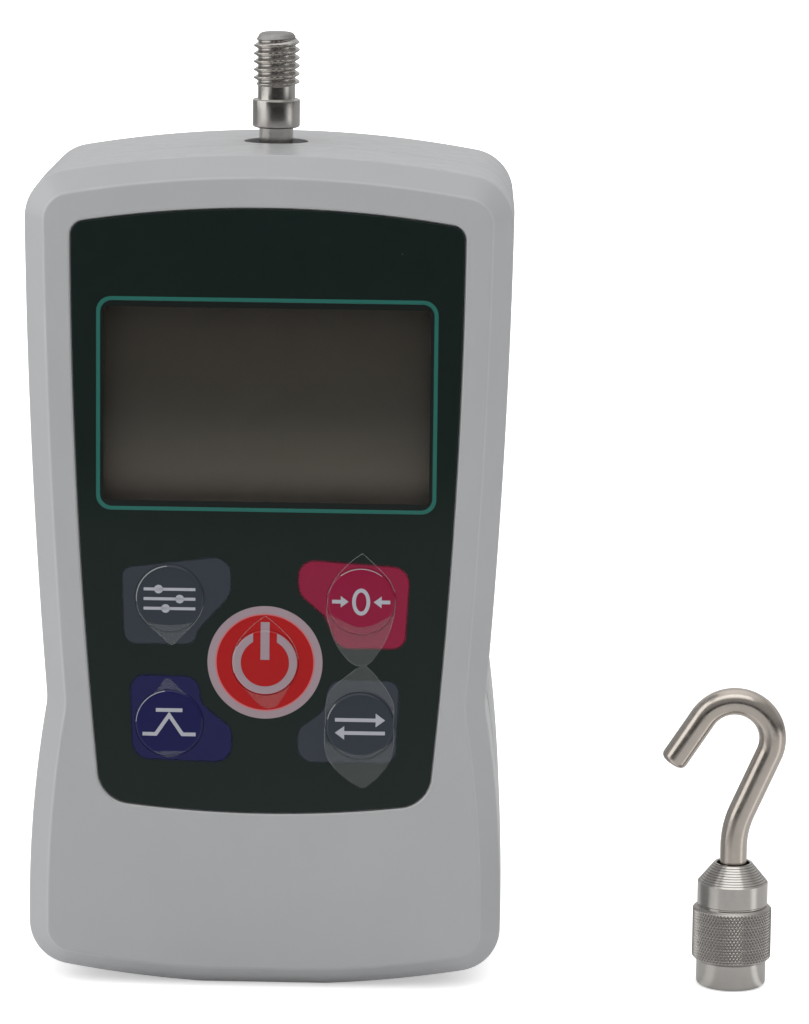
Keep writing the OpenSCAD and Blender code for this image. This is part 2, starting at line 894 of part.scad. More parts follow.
stop_edge = 3;
stop_x = cell_w / 2 - stop_edge;
stop_socket = 1;
stop_d = 2.5;
stop_gap = 0.45;
mid_high_z = cell_top_z - cell_arm - cell_slot;
mid_low_z = cell_low_z + cell_arm + cell_slot;
cell_mid_z = (mid_high_z + mid_low_z) / 2;
cell_floor = 1;

// S-shaped beam: a slot from each side and a two-lobed opening between them
module load_cell() {
    color("#b5b9bb")
        difference() {
            slab(-cell_d / 2, cell_d / 2)
                difference() {
                    translate([-cell_w / 2, cell_low_z])
                        square([cell_w, cell_h]);
                    translate([-cell_w / 2 + cell_web, mid_high_z])
                        square([cell_w, cell_slot]);
                    translate([-cell_w / 2 - cell_web, mid_low_z - cell_slot])
                        square([cell_w, cell_slot]);
                    for (s = [-1, 1])
                        translate([s * cell_lobe_pitch / 2, cell_mid_z])
                            circle(cell_lobe_r);
                    translate([0, cell_mid_z])
                        square([cell_lobe_pitch, cell_lobe_r], center = true);
                }
            translate([0, 0, cell_top_z - cell_arm - pass])
                cylinder(h = cell_arm + 2 * pass, d = stud_d + 2 * fit_gap);
            translate([stop_x, 0, cell_top_z - cell_arm - pass])
                cylinder(h = cell_arm + 2 * pass, d = stop_d + 2 * fit_gap);
            translate([0, 0, cell_low_z - pass])
                cylinder(h = cell_arm - cell_floor + pass, d = stud_d + 2 * fit_gap);
        }
}

gauge_t = 0.2;
gauge_w = 4;
gauge_d = 6;

module strain_gauges() {
    color("#c08a3e")
        for (sx = [-1, 1])
            for (z = [mid_high_z, mid_low_z - gauge_t])
                translate([sx * cell_lobe_pitch / 2 - gauge_w / 2, -gauge_d / 2, z])
                    cube([gauge_w, gauge_d, gauge_t]);
}

module overload_stop() {
    color("#6f7478")
        translate([stop_x, 0, mid_high_z + stop_gap])
            difference() {
                cylinder(h = cell_slot - stop_gap + cell_arm, d = stop_d);
                translate([0, 0, cell_slot - stop_gap + cell_arm - stop_socket])
                    cylinder(h = stop_socket + pass, d = stop_d / 2, $fn = 6);
            }
}

module cell_bracket() {
    color("#8b9094")
        difference() {
            union() {
                translate([-bracket_w / 2, -cell_d / 2, shelf_z])
                    cube([bracket_w, cell_d / 2 + flange_back_y, bracket_t]);
                translate([-bracket_w / 2, flange_y, shelf_z])
                    cube([bracket_w, bracket_t, bracket_t + bracket_h]);
            }
            translate([0, 0, shelf_z - pass])
                cylinder(h = bracket_t + 2 * pass, d = stud_d + 2 * fit_gap);
            for (p = bracket_places)
                bar(p[0], p[1], flange_y - pass, flange_back_y + pass, case_hole_d / 2);
        }
}

module cell_screw() {
    color("#8f9498")
        translate([0, 0, shelf_z])
            mirror([0, 0, 1])
                cell_bolt(stud_d, bracket_t + cell_arm - cell_floor - slide_gap);
}

// A low-headed bolt that clears the battery below the shelf
bolt_head_h = 1.4;

module cell_bolt(d, length) {
    cylinder(h = bolt_head_h, d = screw_head_d * d);
    translate([0, 0, -length])
        cylinder(h = length + bolt_head_h / 2, d = d);
}

module bracket_screws() {
    color("#8f9498")
        for (p = bracket_places)
            translate([p[0], flange_y, p[1]])
                rotate([90, 0, 0])
                    screw(case_screw_d, bracket_screw_len);
}

lead_r = 0.6;
lead_knee = 0.05;

module cell_lead() {
    start = [-cell_w / 2 - lead_r, 0, cell_low_z + cell_arm / 2];
    plug = [cell_plug[0], board_back_y + plug_t, cell_plug[1]];
    leave = [-1.5, -2, 1];
    arrive = [0, 1.5, 0];
    color("#7d8286")
        lead([start, start + leave, plug + arrive, plug], lead_r);
}

// Power
battery_pitch = battery_d + slide_gap;
battery_drop = 3.4;
sleeve_end = 1;
pad_low = 4;
pad_high = 6;
lead_slack = 3;
lead_straight = 1.6;
plug_pitch = 2.4;
sleeve_in_t = battery_d + 2 * fit_gap;
sleeve_out_t = sleeve_in_t + 2 * sleeve_t;
pad_t = 1.6;
battery_y = back_in_y - pad_t - sleeve_out_t / 2;
battery_low_z = wall + battery_foot;
battery_len = shelf_z - battery_drop - battery_low_z;
nub_d = 3.8;
nub_h = 0.8;

module battery_cells() {
    color("#5a8f6a")
        for (i = [-1:1])
            translate([i * battery_pitch, battery_y, battery_low_z]) {
                cylinder(h = battery_len - nub_h, d = battery_d);
                cylinder(h = battery_len, d = nub_d);
            }
}

module battery_sleeve() {
    low = battery_low_z + sleeve_end;
    length = battery_len - nub_h - 2 * sleeve_end;
    color("#2d5f8a")
        translate([0, battery_y, low])
            linear_extrude(length)
                difference() {
                    stadium(2 * battery_pitch + sleeve_out_t, sleeve_out_t);
                    stadium(2 * battery_pitch + sleeve_in_t, sleeve_in_t);
                }
}

module battery_pad() {
    color("#55585a")
        translate([-battery_pitch, back_in_y - pad_t, battery_low_z + pad_low])
            cube([2 * battery_pitch, pad_t, battery_len - pad_low - pad_high]);
}

module battery_leads() {
    top = battery_low_z + battery_len;
    plug_y = board_back_y + plug_t;
    color("#8c3a34")
        for (s = [-1, 1]) {
            tab = [s * battery_pitch, battery_y, top + lead_r];
            plug = [battery_plug[0] + s * plug_pitch / 2, plug_y, battery_plug[1]];
            leave = [0, -battery_d / 2 - lead_slack, 0];
            rise = [0, lead_slack, lead_slack - s];
            lead([tab, tab + leave, plug + rise, plug + [0, lead_straight, 0], plug], lead_r);
        }
}

// Hook set, built on its own upright axis
adapter_h = base_h + knurl_h + upper_h + cone_h;
edge = 0.35;
seat_rise = 1.6;
seat_in_z = base_h + knurl_h + seat_rise;
// A metric thread's minor diameter lies this share of its pitch below the major one
MINOR = 1.0825;
tap_d = thread_d - MINOR * thread_pitch;
tap_spare = 0.4;
tap_len = thread_len + relief_h + tap_spare;
chamber_d = head_d + 2 * slide_gap;
head_h = 1.6;

module hook_adapter() {
    knurl_z = base_h;
    upper_z = base_h + knurl_h;
    cone_z = upper_z + upper_h;
    color("#b7babc")
        at_hook()
            difference() {
                rotate_extrude()
                    polygon([
                        [0, 0],
                        [base_d / 2 - edge, 0],
                        [base_d / 2, edge],
                        [base_d / 2, knurl_z],
                        [knurl_d / 2 - edge, knurl_z],
                        [knurl_d / 2, knurl_z + edge],
                        [knurl_d / 2, upper_z - edge],
                        [knurl_d / 2 - edge, upper_z],
                        [upper_d / 2, upper_z],
                        [upper_d / 2, cone_z],
                        [swivel_d / 2 + rim_w, cone_z + cone_h],
                        [0, cone_z + cone_h]
                    ]);
                translate([0, 0, -pass])
                    cylinder(h = tap_len + pass, d = tap_d);
                translate([0, 0, tap_len - fit_gap])
                    cylinder(h = seat_in_z - tap_len + fit_gap, d = chamber_d);
                cylinder(h = adapter_h + pass, d = swivel_d);
            }
}

module at_hook() {
    translate([hook_x, -hook_y, 0])
        children();
}

// Wire path in the plane of the hook: shank, bend, lean, bowl and open leg
bowl = [-bowl_shift, adapter_h + bowl_rise];
lean_end = bowl + bowl_r * [cos(shank_lean), -sin(shank_lean)];
bend_shift = bend_r * (1 - cos(shank_lean));
lean_len = (lean_end[0] - bend_shift) / sin(shank_lean);
lean_start = lean_end - lean_len * [sin(shank_lean), cos(shank_lean)];
bend_z = lean_start[1] - bend_r * sin(shank_lean);
bowl_turn = 180 - leg_lean + shank_lean;
head_low_z = seat_in_z - slide_gap - head_h;

// The straight runs are a hair thinner than the bends and sink into them, so they join as one solid
run_thin = 0.02;
run_d = wire_d - run_thin;
run_sink = 0.1;
leg_chamfer = wire_d / 5;

// Wire bent about a centre, from one bearing through an angle
module wire_bend(centre, r, from, angle) {
    translate([centre[0], 0, centre[1]])
        rotate([90, 0, 0])
            rotate([0, 0, from])
                rotate_extrude(angle = angle)
                    translate([r, 0])
                        circle(d = wire_d);
}

module wire_run(start, lean, length) {
    translate([start[0], 0, start[1]])
        rotate([0, lean, 0])
            translate([0, 0, -run_sink])
                cylinder(h = length + 2 * run_sink, d = run_d);
}

// Open leg with its end chamfered
module wire_leg(start, lean, length) {
    translate([start[0], 0, start[1]])
        rotate([0, lean, 0])
            rotate_extrude()
                polygon([
                    [0, -run_sink],
                    [run_d / 2, -run_sink],
                    [run_d / 2, length - leg_chamfer],
                    [run_d / 2 - leg_chamfer, length],
                    [0, length]
                ]);
}

module hook() {
    color("#c9cccd")
        at_hook() {
            translate([0, 0, head_low_z])
                cylinder(h = head_h, d = head_d);
            wire_run([0, head_low_z + run_sink], 0, bend_z - head_low_z - run_sink);
            wire_bend([bend_r, bend_z], bend_r, 180 - shank_lean, shank_lean);
            wire_run(lean_start, shank_lean, lean_len);
            wire_bend(bowl, bowl_r, -shank_lean, bowl_turn);
            wire_leg(bowl + bowl_r * [-cos(leg_lean), sin(leg_lean)], 180 + leg_lean, leg_len);
        }
}

// The part is drawn above the floor, then hung from its origin at the foot of the thread
module place() {
    translate([0, 0, -thread_low_z])
        children();
}

place() front_shell();
place() rear_shell();
place() keypad_overlay();
place() display_window();
place() lcd_panel();
place() lcd_bezel();
place() backlight_diffuser();
place() contact_strips();
place() main_board();
place() board_chips();
place() tact_switches();
place() lead_connectors();
place() set_key();
place() zero_key();
place() peak_key();
place() unit_key();
place() power_key();
place() set_plunger();
place() zero_plunger();
place() peak_plunger();
place() unit_plunger();
place() power_plunger();
place() board_screws();
place() charge_socket();
place() load_shaft();
place() lock_nut();
place() load_cell();
place() strain_gauges();
place() overload_stop();
place() cell_bracket();
place() cell_screw();
place() bracket_screws();
place() cell_lead();
place() battery_cells();
place() battery_sleeve();
place() battery_pad();
place() battery_leads();
place() case_screws();
place() stand_inserts();
place() hook_adapter();
place() hook();
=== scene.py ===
"""Looks of a digital force gauge and its loose swivel hook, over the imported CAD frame."""
import json
from cmath import exp, phase
from math import asin, ceil, copysign, cos, hypot, pi, radians, sin, sqrt, tan

import bmesh
import bpy
from mathutils import Matrix, Vector
from mathutils.geometry import tessellate_polygon


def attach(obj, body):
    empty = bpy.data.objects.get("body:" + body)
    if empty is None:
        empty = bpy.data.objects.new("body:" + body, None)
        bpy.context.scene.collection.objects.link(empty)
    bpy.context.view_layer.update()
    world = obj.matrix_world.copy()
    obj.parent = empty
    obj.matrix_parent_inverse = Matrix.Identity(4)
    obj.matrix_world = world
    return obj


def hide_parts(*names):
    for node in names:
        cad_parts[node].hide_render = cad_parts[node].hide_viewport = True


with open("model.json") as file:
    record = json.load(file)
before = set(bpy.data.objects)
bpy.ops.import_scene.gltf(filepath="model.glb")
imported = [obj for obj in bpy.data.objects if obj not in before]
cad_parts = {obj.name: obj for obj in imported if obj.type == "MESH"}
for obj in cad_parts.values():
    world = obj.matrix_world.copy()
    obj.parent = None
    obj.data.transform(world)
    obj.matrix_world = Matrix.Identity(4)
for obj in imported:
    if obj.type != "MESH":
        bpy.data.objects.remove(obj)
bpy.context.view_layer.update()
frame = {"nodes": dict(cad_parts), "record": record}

# Sizes of the part in millimetres, counted from the floor and the measuring axis
MM = 0.001
ORIGIN_Z = 115.1
FRONT_Y, PARTING_Y, BACK_Y = -19.6, -5.6, 16.4
WALL = 2.2
FRONT_IN_Y, BACK_IN_Y = FRONT_Y + WALL, BACK_Y - WALL
RECESS_Y, FILM_Y = FRONT_Y + 0.5, FRONT_Y + 0.1
BODY_H, END_R, FOOT_FLAT = 107.75, 148.0, 16.0
LOW_HALF_W, LOW_WIDE_Z = 30.45, 9.8
HIGH_HALF_W, HIGH_WIDE_Z = 31.0, BODY_H + 4
FRONT_WAIST, REAR_WAIST, WAIST_Z = 28.1, 28.7, 37.2
FOOT_R, WAIST_R, SHOULDER_R = 5.8, 8.0, 6.2
FILM_LOW_HALF_W, FILM_LOW_Z, FILM_LOW_R = 20.8, 23.3, 4.3
FILM_TOP_HALF_W, FILM_TOP_Z, FILM_TOP_R = 24.85, 101.25, 1.8
BEVEL_W, BEVEL_D, FACE_IN = 2.7, 3.0, 5.0
FRONT_TAPER, REAR_TAPER, SEAM = 0.02, 0.4, 0.3
KEY_R, POWER_R, CROWN = 4.375, 4.25, 0.27
KEY_PLACES = {"set": (-12.2, 51.175), "zero": (12.2, 51.175), "peak": (-12.2, 34.925), "unit": (12.2, 34.925),
              "power": (0.0, 43.05)}
KEY_SHADES = {"set": "slate", "zero": "crimson", "peak": "navy", "unit": "slate", "power": "red"}
SLOTS = {key: f"key_{shade}" for key, shade in KEY_SHADES.items()}
KEY_RADII = {key: POWER_R if key == "power" else KEY_R for key in KEY_PLACES}
KEY_GAP, WELL_GAP = 0.04, 0.3
WINDOW_W, WINDOW_H, WINDOW_Z, WINDOW_R = 42.1, 26.3, 76.25, 1.5
HOOK_X, HOOK_Y = 60.5, -12.8
INSERT_PLACES = [(sx * 21.0, z) for sx in (-1, 1) for z in (40.0, 90.0)]
INK_LIFT = 0.02
BEYOND = 1.0  # how far a cutting shape reaches past what it cuts


def row(x, y, z):
    """A point counted in millimetres from the floor, in the row frame."""
    return (x * MM, y * MM, (z - ORIGIN_Z) * MM)


# Outlines made of arcs (centre as x + iz, radius, sense), from the lower end to the upper end
OUT, HOLLOW = 1, -1
BODY_STEPS = (24, 18, 22, 14, 44, 20, 24)
FILM_STEPS = (24, 16, 48, 12, 24)


def bow(apex, r, up, flat=0.0):
    return (complex(0, apex - up * sqrt(r * r - flat * flat / 4)), r, OUT)


def flank(half_w, z_wide, half_narrow, z_narrow):
    dx, dz = half_w - half_narrow, z_wide - z_narrow
    r = (dx * dx + dz * dz) / (2 * dx)
    return (complex(half_w - r, z_wide), r, OUT)


def nestle(a, b, r, sense):
    r1, r2 = a[1] - sense * r, b[1] - sense * r
    gap = b[0] - a[0]
    d = abs(gap)
    along = (r1 * r1 - r2 * r2 + d * d) / (2 * d)
    off = sqrt(max(0.0, r1 * r1 - along * along))
    u = gap / d
    return (a[0] + along * u + sense * off * 1j * u, r, sense)


def touch(a, b):
    u = (b[0] - a[0]) / abs(b[0] - a[0])
    return a[0] + a[1] * (-u if a[2] == b[2] and a[1] < b[1] else u)


def bearing(v, sense):
    angle = phase(v)
    return angle if sense == OUT else angle % (2 * pi)


def outline(arcs, steps, inset, foot):
    """Closed outline of arcs and their mirror image, from the bearing of the foot."""
    half, last = [], len(arcs) - 1
    for i, (c, r, sense) in enumerate(arcs):
        a0 = foot - pi / 2 if i == 0 else bearing(touch(arcs[i - 1], arcs[i]) - c, sense)
        a1 = pi / 2 if i == last else bearing(touch(arcs[i], arcs[i + 1]) - c, sense)
        for k in range(steps[i] + (i == last)):
            half.append(c + (r - sense * inset) * exp(1j * (a0 + (a1 - a0) * k / steps[i])))
    return half + [complex(-p.real, p.imag) for p in half[-2::-1] if p.real > 1e-6]


def body_arcs(low_waist):
    bottom, top = bow(0, END_R, -1, FOOT_FLAT), bow(BODY_H, END_R, 1)
    low = flank(LOW_HALF_W, LOW_WIDE_Z, low_waist, WAIST_Z)
    high = flank(HIGH_HALF_W, HIGH_WIDE_Z, FRONT_WAIST, WAIST_Z)
    return [bottom, nestle(bottom, low, FOOT_R, OUT), low, nestle(low, high, WAIST_R, HOLLOW), high,
            nestle(high, top, SHOULDER_R, OUT), top]


FRONT_ARCS, REAR_ARCS = body_arcs(FRONT_WAIST), body_arcs(REAR_WAIST)
film_low, film_top = bow(FILM_LOW_Z, END_R, -1), bow(FILM_TOP_Z, END_R, 1)
film_side = flank(FILM_TOP_HALF_W, FILM_TOP_Z, FILM_LOW_HALF_W, FILM_LOW_Z)
FILM_ARCS = [film_low, nestle(film_low, film_side, FILM_LOW_R, OUT), film_side,
             nestle(film_side, film_top, FILM_TOP_R, OUT), film_top]
FOOT_ARC, SHOULDER_ARC = 1, 5
CORNER_PLACES = [(s * FRONT_ARCS[i][0].real, FRONT_ARCS[i][0].imag)
                 for s in (-1, 1) for i in (FOOT_ARC, SHOULDER_ARC)]
MOST_OF_EDGE = 0.49  # share of an edge that the rounding of one corner may take


def fillet(points, radii, steps=6):
    """The polyline with its inner corners rounded to the radii given."""
    pts = [complex(*p) for p in points]
    out = [pts[0]]
    for a, p, b, r in zip(pts, pts[1:], pts[2:], radii[1:-1]):
        if r == 0:
            out.append(p)
            continue
        u, v = (a - p) / abs(a - p), (b - p) / abs(b - p)
        half = abs(phase(v / u)) / 2
        reach = min(r / tan(half), MOST_OF_EDGE * abs(a - p), MOST_OF_EDGE * abs(b - p))
        centre = p + (u + v) / abs(u + v) * (reach / cos(half))
        start, end = p + u * reach - centre, p + v * reach - centre
        turn = phase(end / start)
        out += [centre + start * exp(1j * turn * k / steps) for k in range(steps + 1)]
    return [(p.real, p.imag) for p in out + [pts[-1]]]


# Mesh building
WELD, SLIVER, SHARP, FACE_WEIGHT, MOST_CUTS = 1e-7, 1e-8, 32.0, 80, 6


def round_about(steps):
    return [2 * pi * k / steps for k in range(steps)]


def level_ring(radius, z, steps, at=(0.0, 0.0)):
    """A level ring about an upright axis; its radius is a number, or follows bearing and height."""
    return [(at[0] + r * cos(a), at[1] + r * sin(a), z)
            for a in round_about(steps) for r in (radius(a, z) if callable(radius) else radius,)]


def loft(rings, cap_first=True, cap_last=True, wrap=True):
    """Points and faces of the skin through rings of equal length."""
    n = len(rings[0])
    verts = [p for ring in rings for p in ring]
    faces = []
    for k in range(len(rings) - 1):
        for i in range(n if wrap else n - 1):
            a, b = k * n + i, k * n + (i + 1) % n
            faces.append((a, b, b + n, a + n))
    if cap_first:
        faces.append(tuple(range(n - 1, -1, -1)))
    if cap_last:
        faces.append(tuple((len(rings) - 1) * n + i for i in range(n)))
    return verts, faces


def ring(arcs, inset, y):
    steps, foot = (FILM_STEPS, 0.0) if arcs is FILM_ARCS else (BODY_STEPS, asin(FOOT_FLAT / 2 / END_R))
    return [(p.real, y, p.imag) for p in outline(arcs, steps, inset, foot)]


def spin(profile, at, axis="Z", steps=64):
    """Points and faces of a closed profile (radius, height) turned about an axis."""
    rings = []
    for a in round_about(steps):
        c, s = cos(a), sin(a)
        if axis == "Z":
            rings.append([(at[0] + r * c, at[1] + r * s, at[2] + h) for r, h in profile])
        else:
            rings.append([(at[0] + r * c, at[1] + h, at[2] - r * s) for r, h in profile])
    n = len(profile)
    verts = [p for one in rings for p in one]
    faces = [(k * n + i, k * n + (i + 1) % n, (k + 1) % steps * n + (i + 1) % n, (k + 1) % steps * n + i)
             for k in range(steps) for i in range(n)]
    return verts, faces


def join(*shapes):
    verts, faces = [], []
    for v, f in shapes:
        base = len(verts)
        verts += v
        faces += [tuple(i + base for i in one) for one in f]
    return verts, faces


def add(name, data):
    obj = bpy.data.objects.new(name, data)
    bpy.context.scene.collection.objects.link(obj)
    return obj


def make(name, shape, paint=None, sharp=SHARP):
    """A clean mesh object from points in millimetres, smooth between its sharp edges."""
    mesh = bpy.data.meshes.new(name)
    mesh.from_pydata([row(*v) for v in shape[0]], [], shape[1])
    bm = bmesh.new()
    bm.from_mesh(mesh)
    bmesh.ops.remove_doubles(bm, verts=bm.verts, dist=WELD)
    bmesh.ops.dissolve_degenerate(bm, edges=bm.edges, dist=SLIVER)
    bmesh.ops.recalc_face_normals(bm, faces=bm.faces)
    bm.to_mesh(mesh)
    bm.free()
    obj = add(name, mesh)
    if paint:
        mesh.materials.append(paint.material)
    smooth(obj, sharp)
    return obj


def smooth(obj, sharp):
    mesh = obj.data
    mesh.polygons.foreach_set("use_smooth", [True] * len(mesh.polygons))
    mesh.set_sharp_from_angle(angle=radians(sharp))
    mesh.update()


def carve(obj, *shapes):
    """Takes closed shapes out of a mesh object for good, and weights its normals by face size."""
    for i, shape in enumerate(shapes):
        tool = make(f"{obj.name}_tool_{i}", shape)
        cut = obj.modifiers.new("cut", "BOOLEAN")
        cut.operation, cut.solver, cut.object = "DIFFERENCE", "EXACT", tool
        bpy.context.view_layer.update()
        done = bpy.data.meshes.new_from_object(obj.evaluated_get(bpy.context.evaluated_depsgraph_get()))
        obj.modifiers.clear()
        old, obj.data = obj.data, done
        bpy.data.meshes.remove(old)
        bpy.data.meshes.remove(tool.data)  # its object goes with it
    smooth(obj, SHARP)
    even = obj.modifiers.new("even_normals", "WEIGHTED_NORMAL")
    even.keep_sharp, even.weight = True, FACE_WEIGHT


def place(obj, body, slot, *nodes):
    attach(obj, body)
    if nodes:
        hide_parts(*nodes)


# Materials
MIX_INPUTS, MIX_OUTPUT = (0, 6, 7), 2  # the factor and colour sockets of a Mix node


def feed(socket, value):
    """Sets a socket to a number or a colour, or links it to an output."""
    if isinstance(value, tuple):
        socket.default_value = (*value, 1.0)
    elif isinstance(value, float):
        socket.default_value = value
    else:
        socket.id_data.links.new(value, socket)


def calc(operation, *values):
    """A sum in the node tree that its first socket belongs to."""
    tree = next(value.id_data for value in values if not isinstance(value, float))
    made = tree.nodes.new("ShaderNodeMath")
    made.operation = operation
    for socket, value in zip(made.inputs, values):
        feed(socket, value)
    return made.outputs[0]


def plus(a, b):
    return calc("ADD", a, b)


def sub(a, b):
    return calc("SUBTRACT", a, b)


def times(a, b):
    return calc("MULTIPLY", a, b)


def most(top, *others):
    for value in others:
        top = calc("MAXIMUM", top, value)
    return top


def length(a, b):
    return calc("SQRT", plus(times(a, a), times(b, b)))


def either(choice, a, b):
    """The first value where the choice is 1, the second where it is 0."""
    return plus(b, times(choice, sub(a, b)))


class Nodes:
    """A node tree with small helpers to fill it."""

    def __init__(self, tree):
        self.tree = tree

    def node(self, kind, links=(), **settings):
        made = self.tree.nodes.new("ShaderNode" + kind)
        for key, value in settings.items():
            if key in made.inputs:
                made.inputs[key].default_value = value
            else:
                setattr(made, key, value)
        for key, source in links:
            self.tree.links.new(source, made.inputs[key])
        return made

    def split(self, vector):
        made = self.node("SeparateXYZ", [("Vector", vector)])
        return [made.outputs[axis] for axis in "XYZ"]

    def span(self, value, low, high, from_low=0.3, from_high=0.7):
        ends = {"From Min": from_low, "From Max": from_high, "To Min": low, "To Max": high}
        return self.node("MapRange", [("Value", value)], **ends).outputs["Result"]

    def ramp(self, factor, stops):
        """A colour ramp through stops of (spot, grey or colour), from 0 to 1."""
        made = self.node("ValToRGB", [("Fac", factor)])
        elements = made.color_ramp.elements
        for spot, _ in stops[1:-1]:
            elements.new(spot)
        for element, (spot, value) in zip(elements, stops):
            color = value if isinstance(value, tuple) else (value, value, value)
            element.position, element.color = spot, (*color, 1.0)
        return made.outputs["Color"]

    def blend(self, factor, a, b):
        """Colour a where the factor is 0, and b where it is 1."""
        made = self.node("Mix", data_type="RGBA")
        for i, value in zip(MIX_INPUTS, (factor, a, b)):
            feed(made.inputs[i], value)
        return made.outputs[MIX_OUTPUT]


class Paint(Nodes):
    """A material with a principled shader."""

    def __init__(self, name, **values):
        self.material = bpy.data.materials.new(name)
        self.material.use_nodes = True
        super().__init__(self.material.node_tree)
        self.shader = self.tree.nodes["Principled BSDF"]
        for key, value in values.items():
            self.shader.inputs[key.replace("_", " ")].default_value = value
        self.place = self.tree.nodes.new("ShaderNodeTexCoord").outputs["Object"]

    def stretched(self, x, y, z):
        return self.node("Mapping", [("Vector", self.place)], Scale=(x, y, z)).outputs["Vector"]

    def noise(self, scale, detail=3.0, rough=0.55, where=None):
        return self.node("TexNoise", [("Vector", where or self.place)], Scale=scale, Detail=detail,
                         Roughness=rough).outputs["Fac"]

    def specks(self, scale, rare, largest):
        """Where small round specks lie: one cell in a few holds one, of uneven size."""
        cells = self.node("TexVoronoi", [("Vector", self.place)], Scale=scale)
        lot = self.node("SeparateColor", [("Color", cells.outputs["Color"])]).outputs[0]
        return calc("GREATER_THAN", self.span(lot, 0.0, largest, rare, 1.0), cells.outputs["Distance"])

    def into(self, key, source):
        self.tree.links.new(source, self.shader.inputs[key])
        return self

    def bumped(self, height, strength, depth):
        made = self.node("Bump", [("Height", height)], Strength=strength, Distance=depth)
        return self.into("Normal", made.outputs["Normal"])


def tint(color, k):
    return tuple(min(1.0, c * k) for c in color)


def plastic(name, color, roughness, vary=0.04, bump=0.06):
    """Moulded plastic: fine grain, uneven sheen, and faint clouds unless its colour comes later."""
    p = Paint(name)
    if color:
        p.into("Base Color", p.blend(p.noise(90.0), tint(color, 1 - vary), tint(color, 1 + vary)))
    p.into("Roughness", p.span(p.noise(350.0, 4.0), roughness - 0.05, roughness + 0.06))
    return p.bumped(p.noise(7000.0, 2.0), bump, 0.00003)


def metal(name, color, roughness, turned=0.0, vary=0.08, bump=0.05, deep=0.00001):
    """Bare metal: cloudy shade, uneven polish and, where turned, fine rings about its axis."""
    p = Paint(name, Metallic=1.0)
    p.into("Base Color", p.blend(p.noise(600.0, 4.0), tint(color, 1 - vary), tint(color, 1 + vary)))
    p.into("Roughness", p.span(p.noise(1500.0, 4.0), roughness - 0.04, roughness + 0.06))
    if turned:
        rings = p.noise(1.0, 3.0, 0.6, p.stretched(30.0, 30.0, 11000.0))
        return p.bumped(rings, turned, 0.00002)
    return p.bumped(p.noise(9000.0, 2.0), bump, deep)


def film(name, color, dust=False, coat=0.5, alpha=1.0):
    """Printed film under a hard coat: near even colour, faint haze, maybe a few specks of dust."""
    p = Paint(name, Specular_IOR_Level=0.2, Coat_Weight=coat, Coat_Roughness=0.06, Alpha=alpha)
    base = p.blend(p.noise(120.0), tint(color, 0.94), tint(color, 1.06))
    if dust:
        base = p.blend(p.specks(230.0, 0.8, 0.03), base, (0.09, 0.1, 0.1))
    p.into("Base Color", base)
    p.into("Roughness", p.span(p.noise(500.0, 5.0), 0.33, 0.43))
    return p.bumped(p.noise(2500.0, 2.0), 0.03, 0.00001)


# The case: cloudy grey, with painted highlights along the edges of the bevel, broken up like wear
SHELL_DARK, SHELL_PALE, SHELL_HIGHLIGHT = (0.365, 0.370, 0.378), (0.395, 0.400, 0.408), (0.460, 0.465, 0.472)
# Painted highlights: paler bands at these shares of the depth behind the face, along both edges of the bevel
SHELL_HIGHLIGHT_EDGES = ((0.0, 0.0), (0.006, 0.0), (0.03, 0.8), (0.085, 0.0), (0.70, 0.0), (0.75, 0.6), (0.80, 0.0),
               (1.0, 0.0))
HIGHLIGHT_DEPTH = 4.0
SHELL = plastic("shell_plastic", None, 0.33)
shell_cloud = SHELL.blend(SHELL.noise(90.0), SHELL_DARK, SHELL_PALE)
shell_depth = SHELL.span(SHELL.split(SHELL.place)[1], 0.0, 1.0, FRONT_Y * MM, (FRONT_Y + HIGHLIGHT_DEPTH) * MM)
shell_highlight_edges = SHELL.ramp(shell_depth, SHELL_HIGHLIGHT_EDGES)
shell_highlight_mask = times(shell_highlight_edges, SHELL.span(SHELL.noise(260.0, 4.0), 0.3, 1.0))
SHELL.into("Base Color", SHELL.blend(shell_highlight_mask, shell_cloud, SHELL_HIGHLIGHT))

# Film, its inks, its hazes (painted reflection) and rim glints (painted highlight)
FILM = film("overlay_film", (0.0038, 0.0118, 0.0094), dust=True)
MASK = film("window_mask_ink", (0.006, 0.010, 0.009))
TEAL = film("frame_ink", (0.015, 0.120, 0.097))
SHADES = {"slate": (0.029, 0.036, 0.048), "crimson": (0.230, 0.003, 0.034), "navy": (0.006, 0.006, 0.066),
          "red": (0.350, 0.003, 0.004)}
INKS = {shade: film(f"{shade}_ink", color, coat=0.15 if shade == "red" else 0.5)
        for shade, color in SHADES.items()}
PALE = film("pale_ink", (0.300, 0.228, 0.256))
LEGEND = film("legend_ink", (0.370, 0.375, 0.420))
HALO = film("halo_ink", (0.50, 0.13, 0.14))
# Pale hazes and edges of the film's real lifts: their paleness is a painted reflection of the floor
LIFT_REFLECTION = film("film_lift_reflection", (0.40, 0.42, 0.415), coat=0.0, alpha=0.115)
LIFT_EDGE_REFLECTION = film("film_lift_edge_reflection", (0.42, 0.44, 0.44), coat=0.0, alpha=0.27)
# Painted highlights on the rims of the domes
RIM_GLINT = film("film_rim_glint", (0.50, 0.52, 0.53), coat=0.0, alpha=0.55)

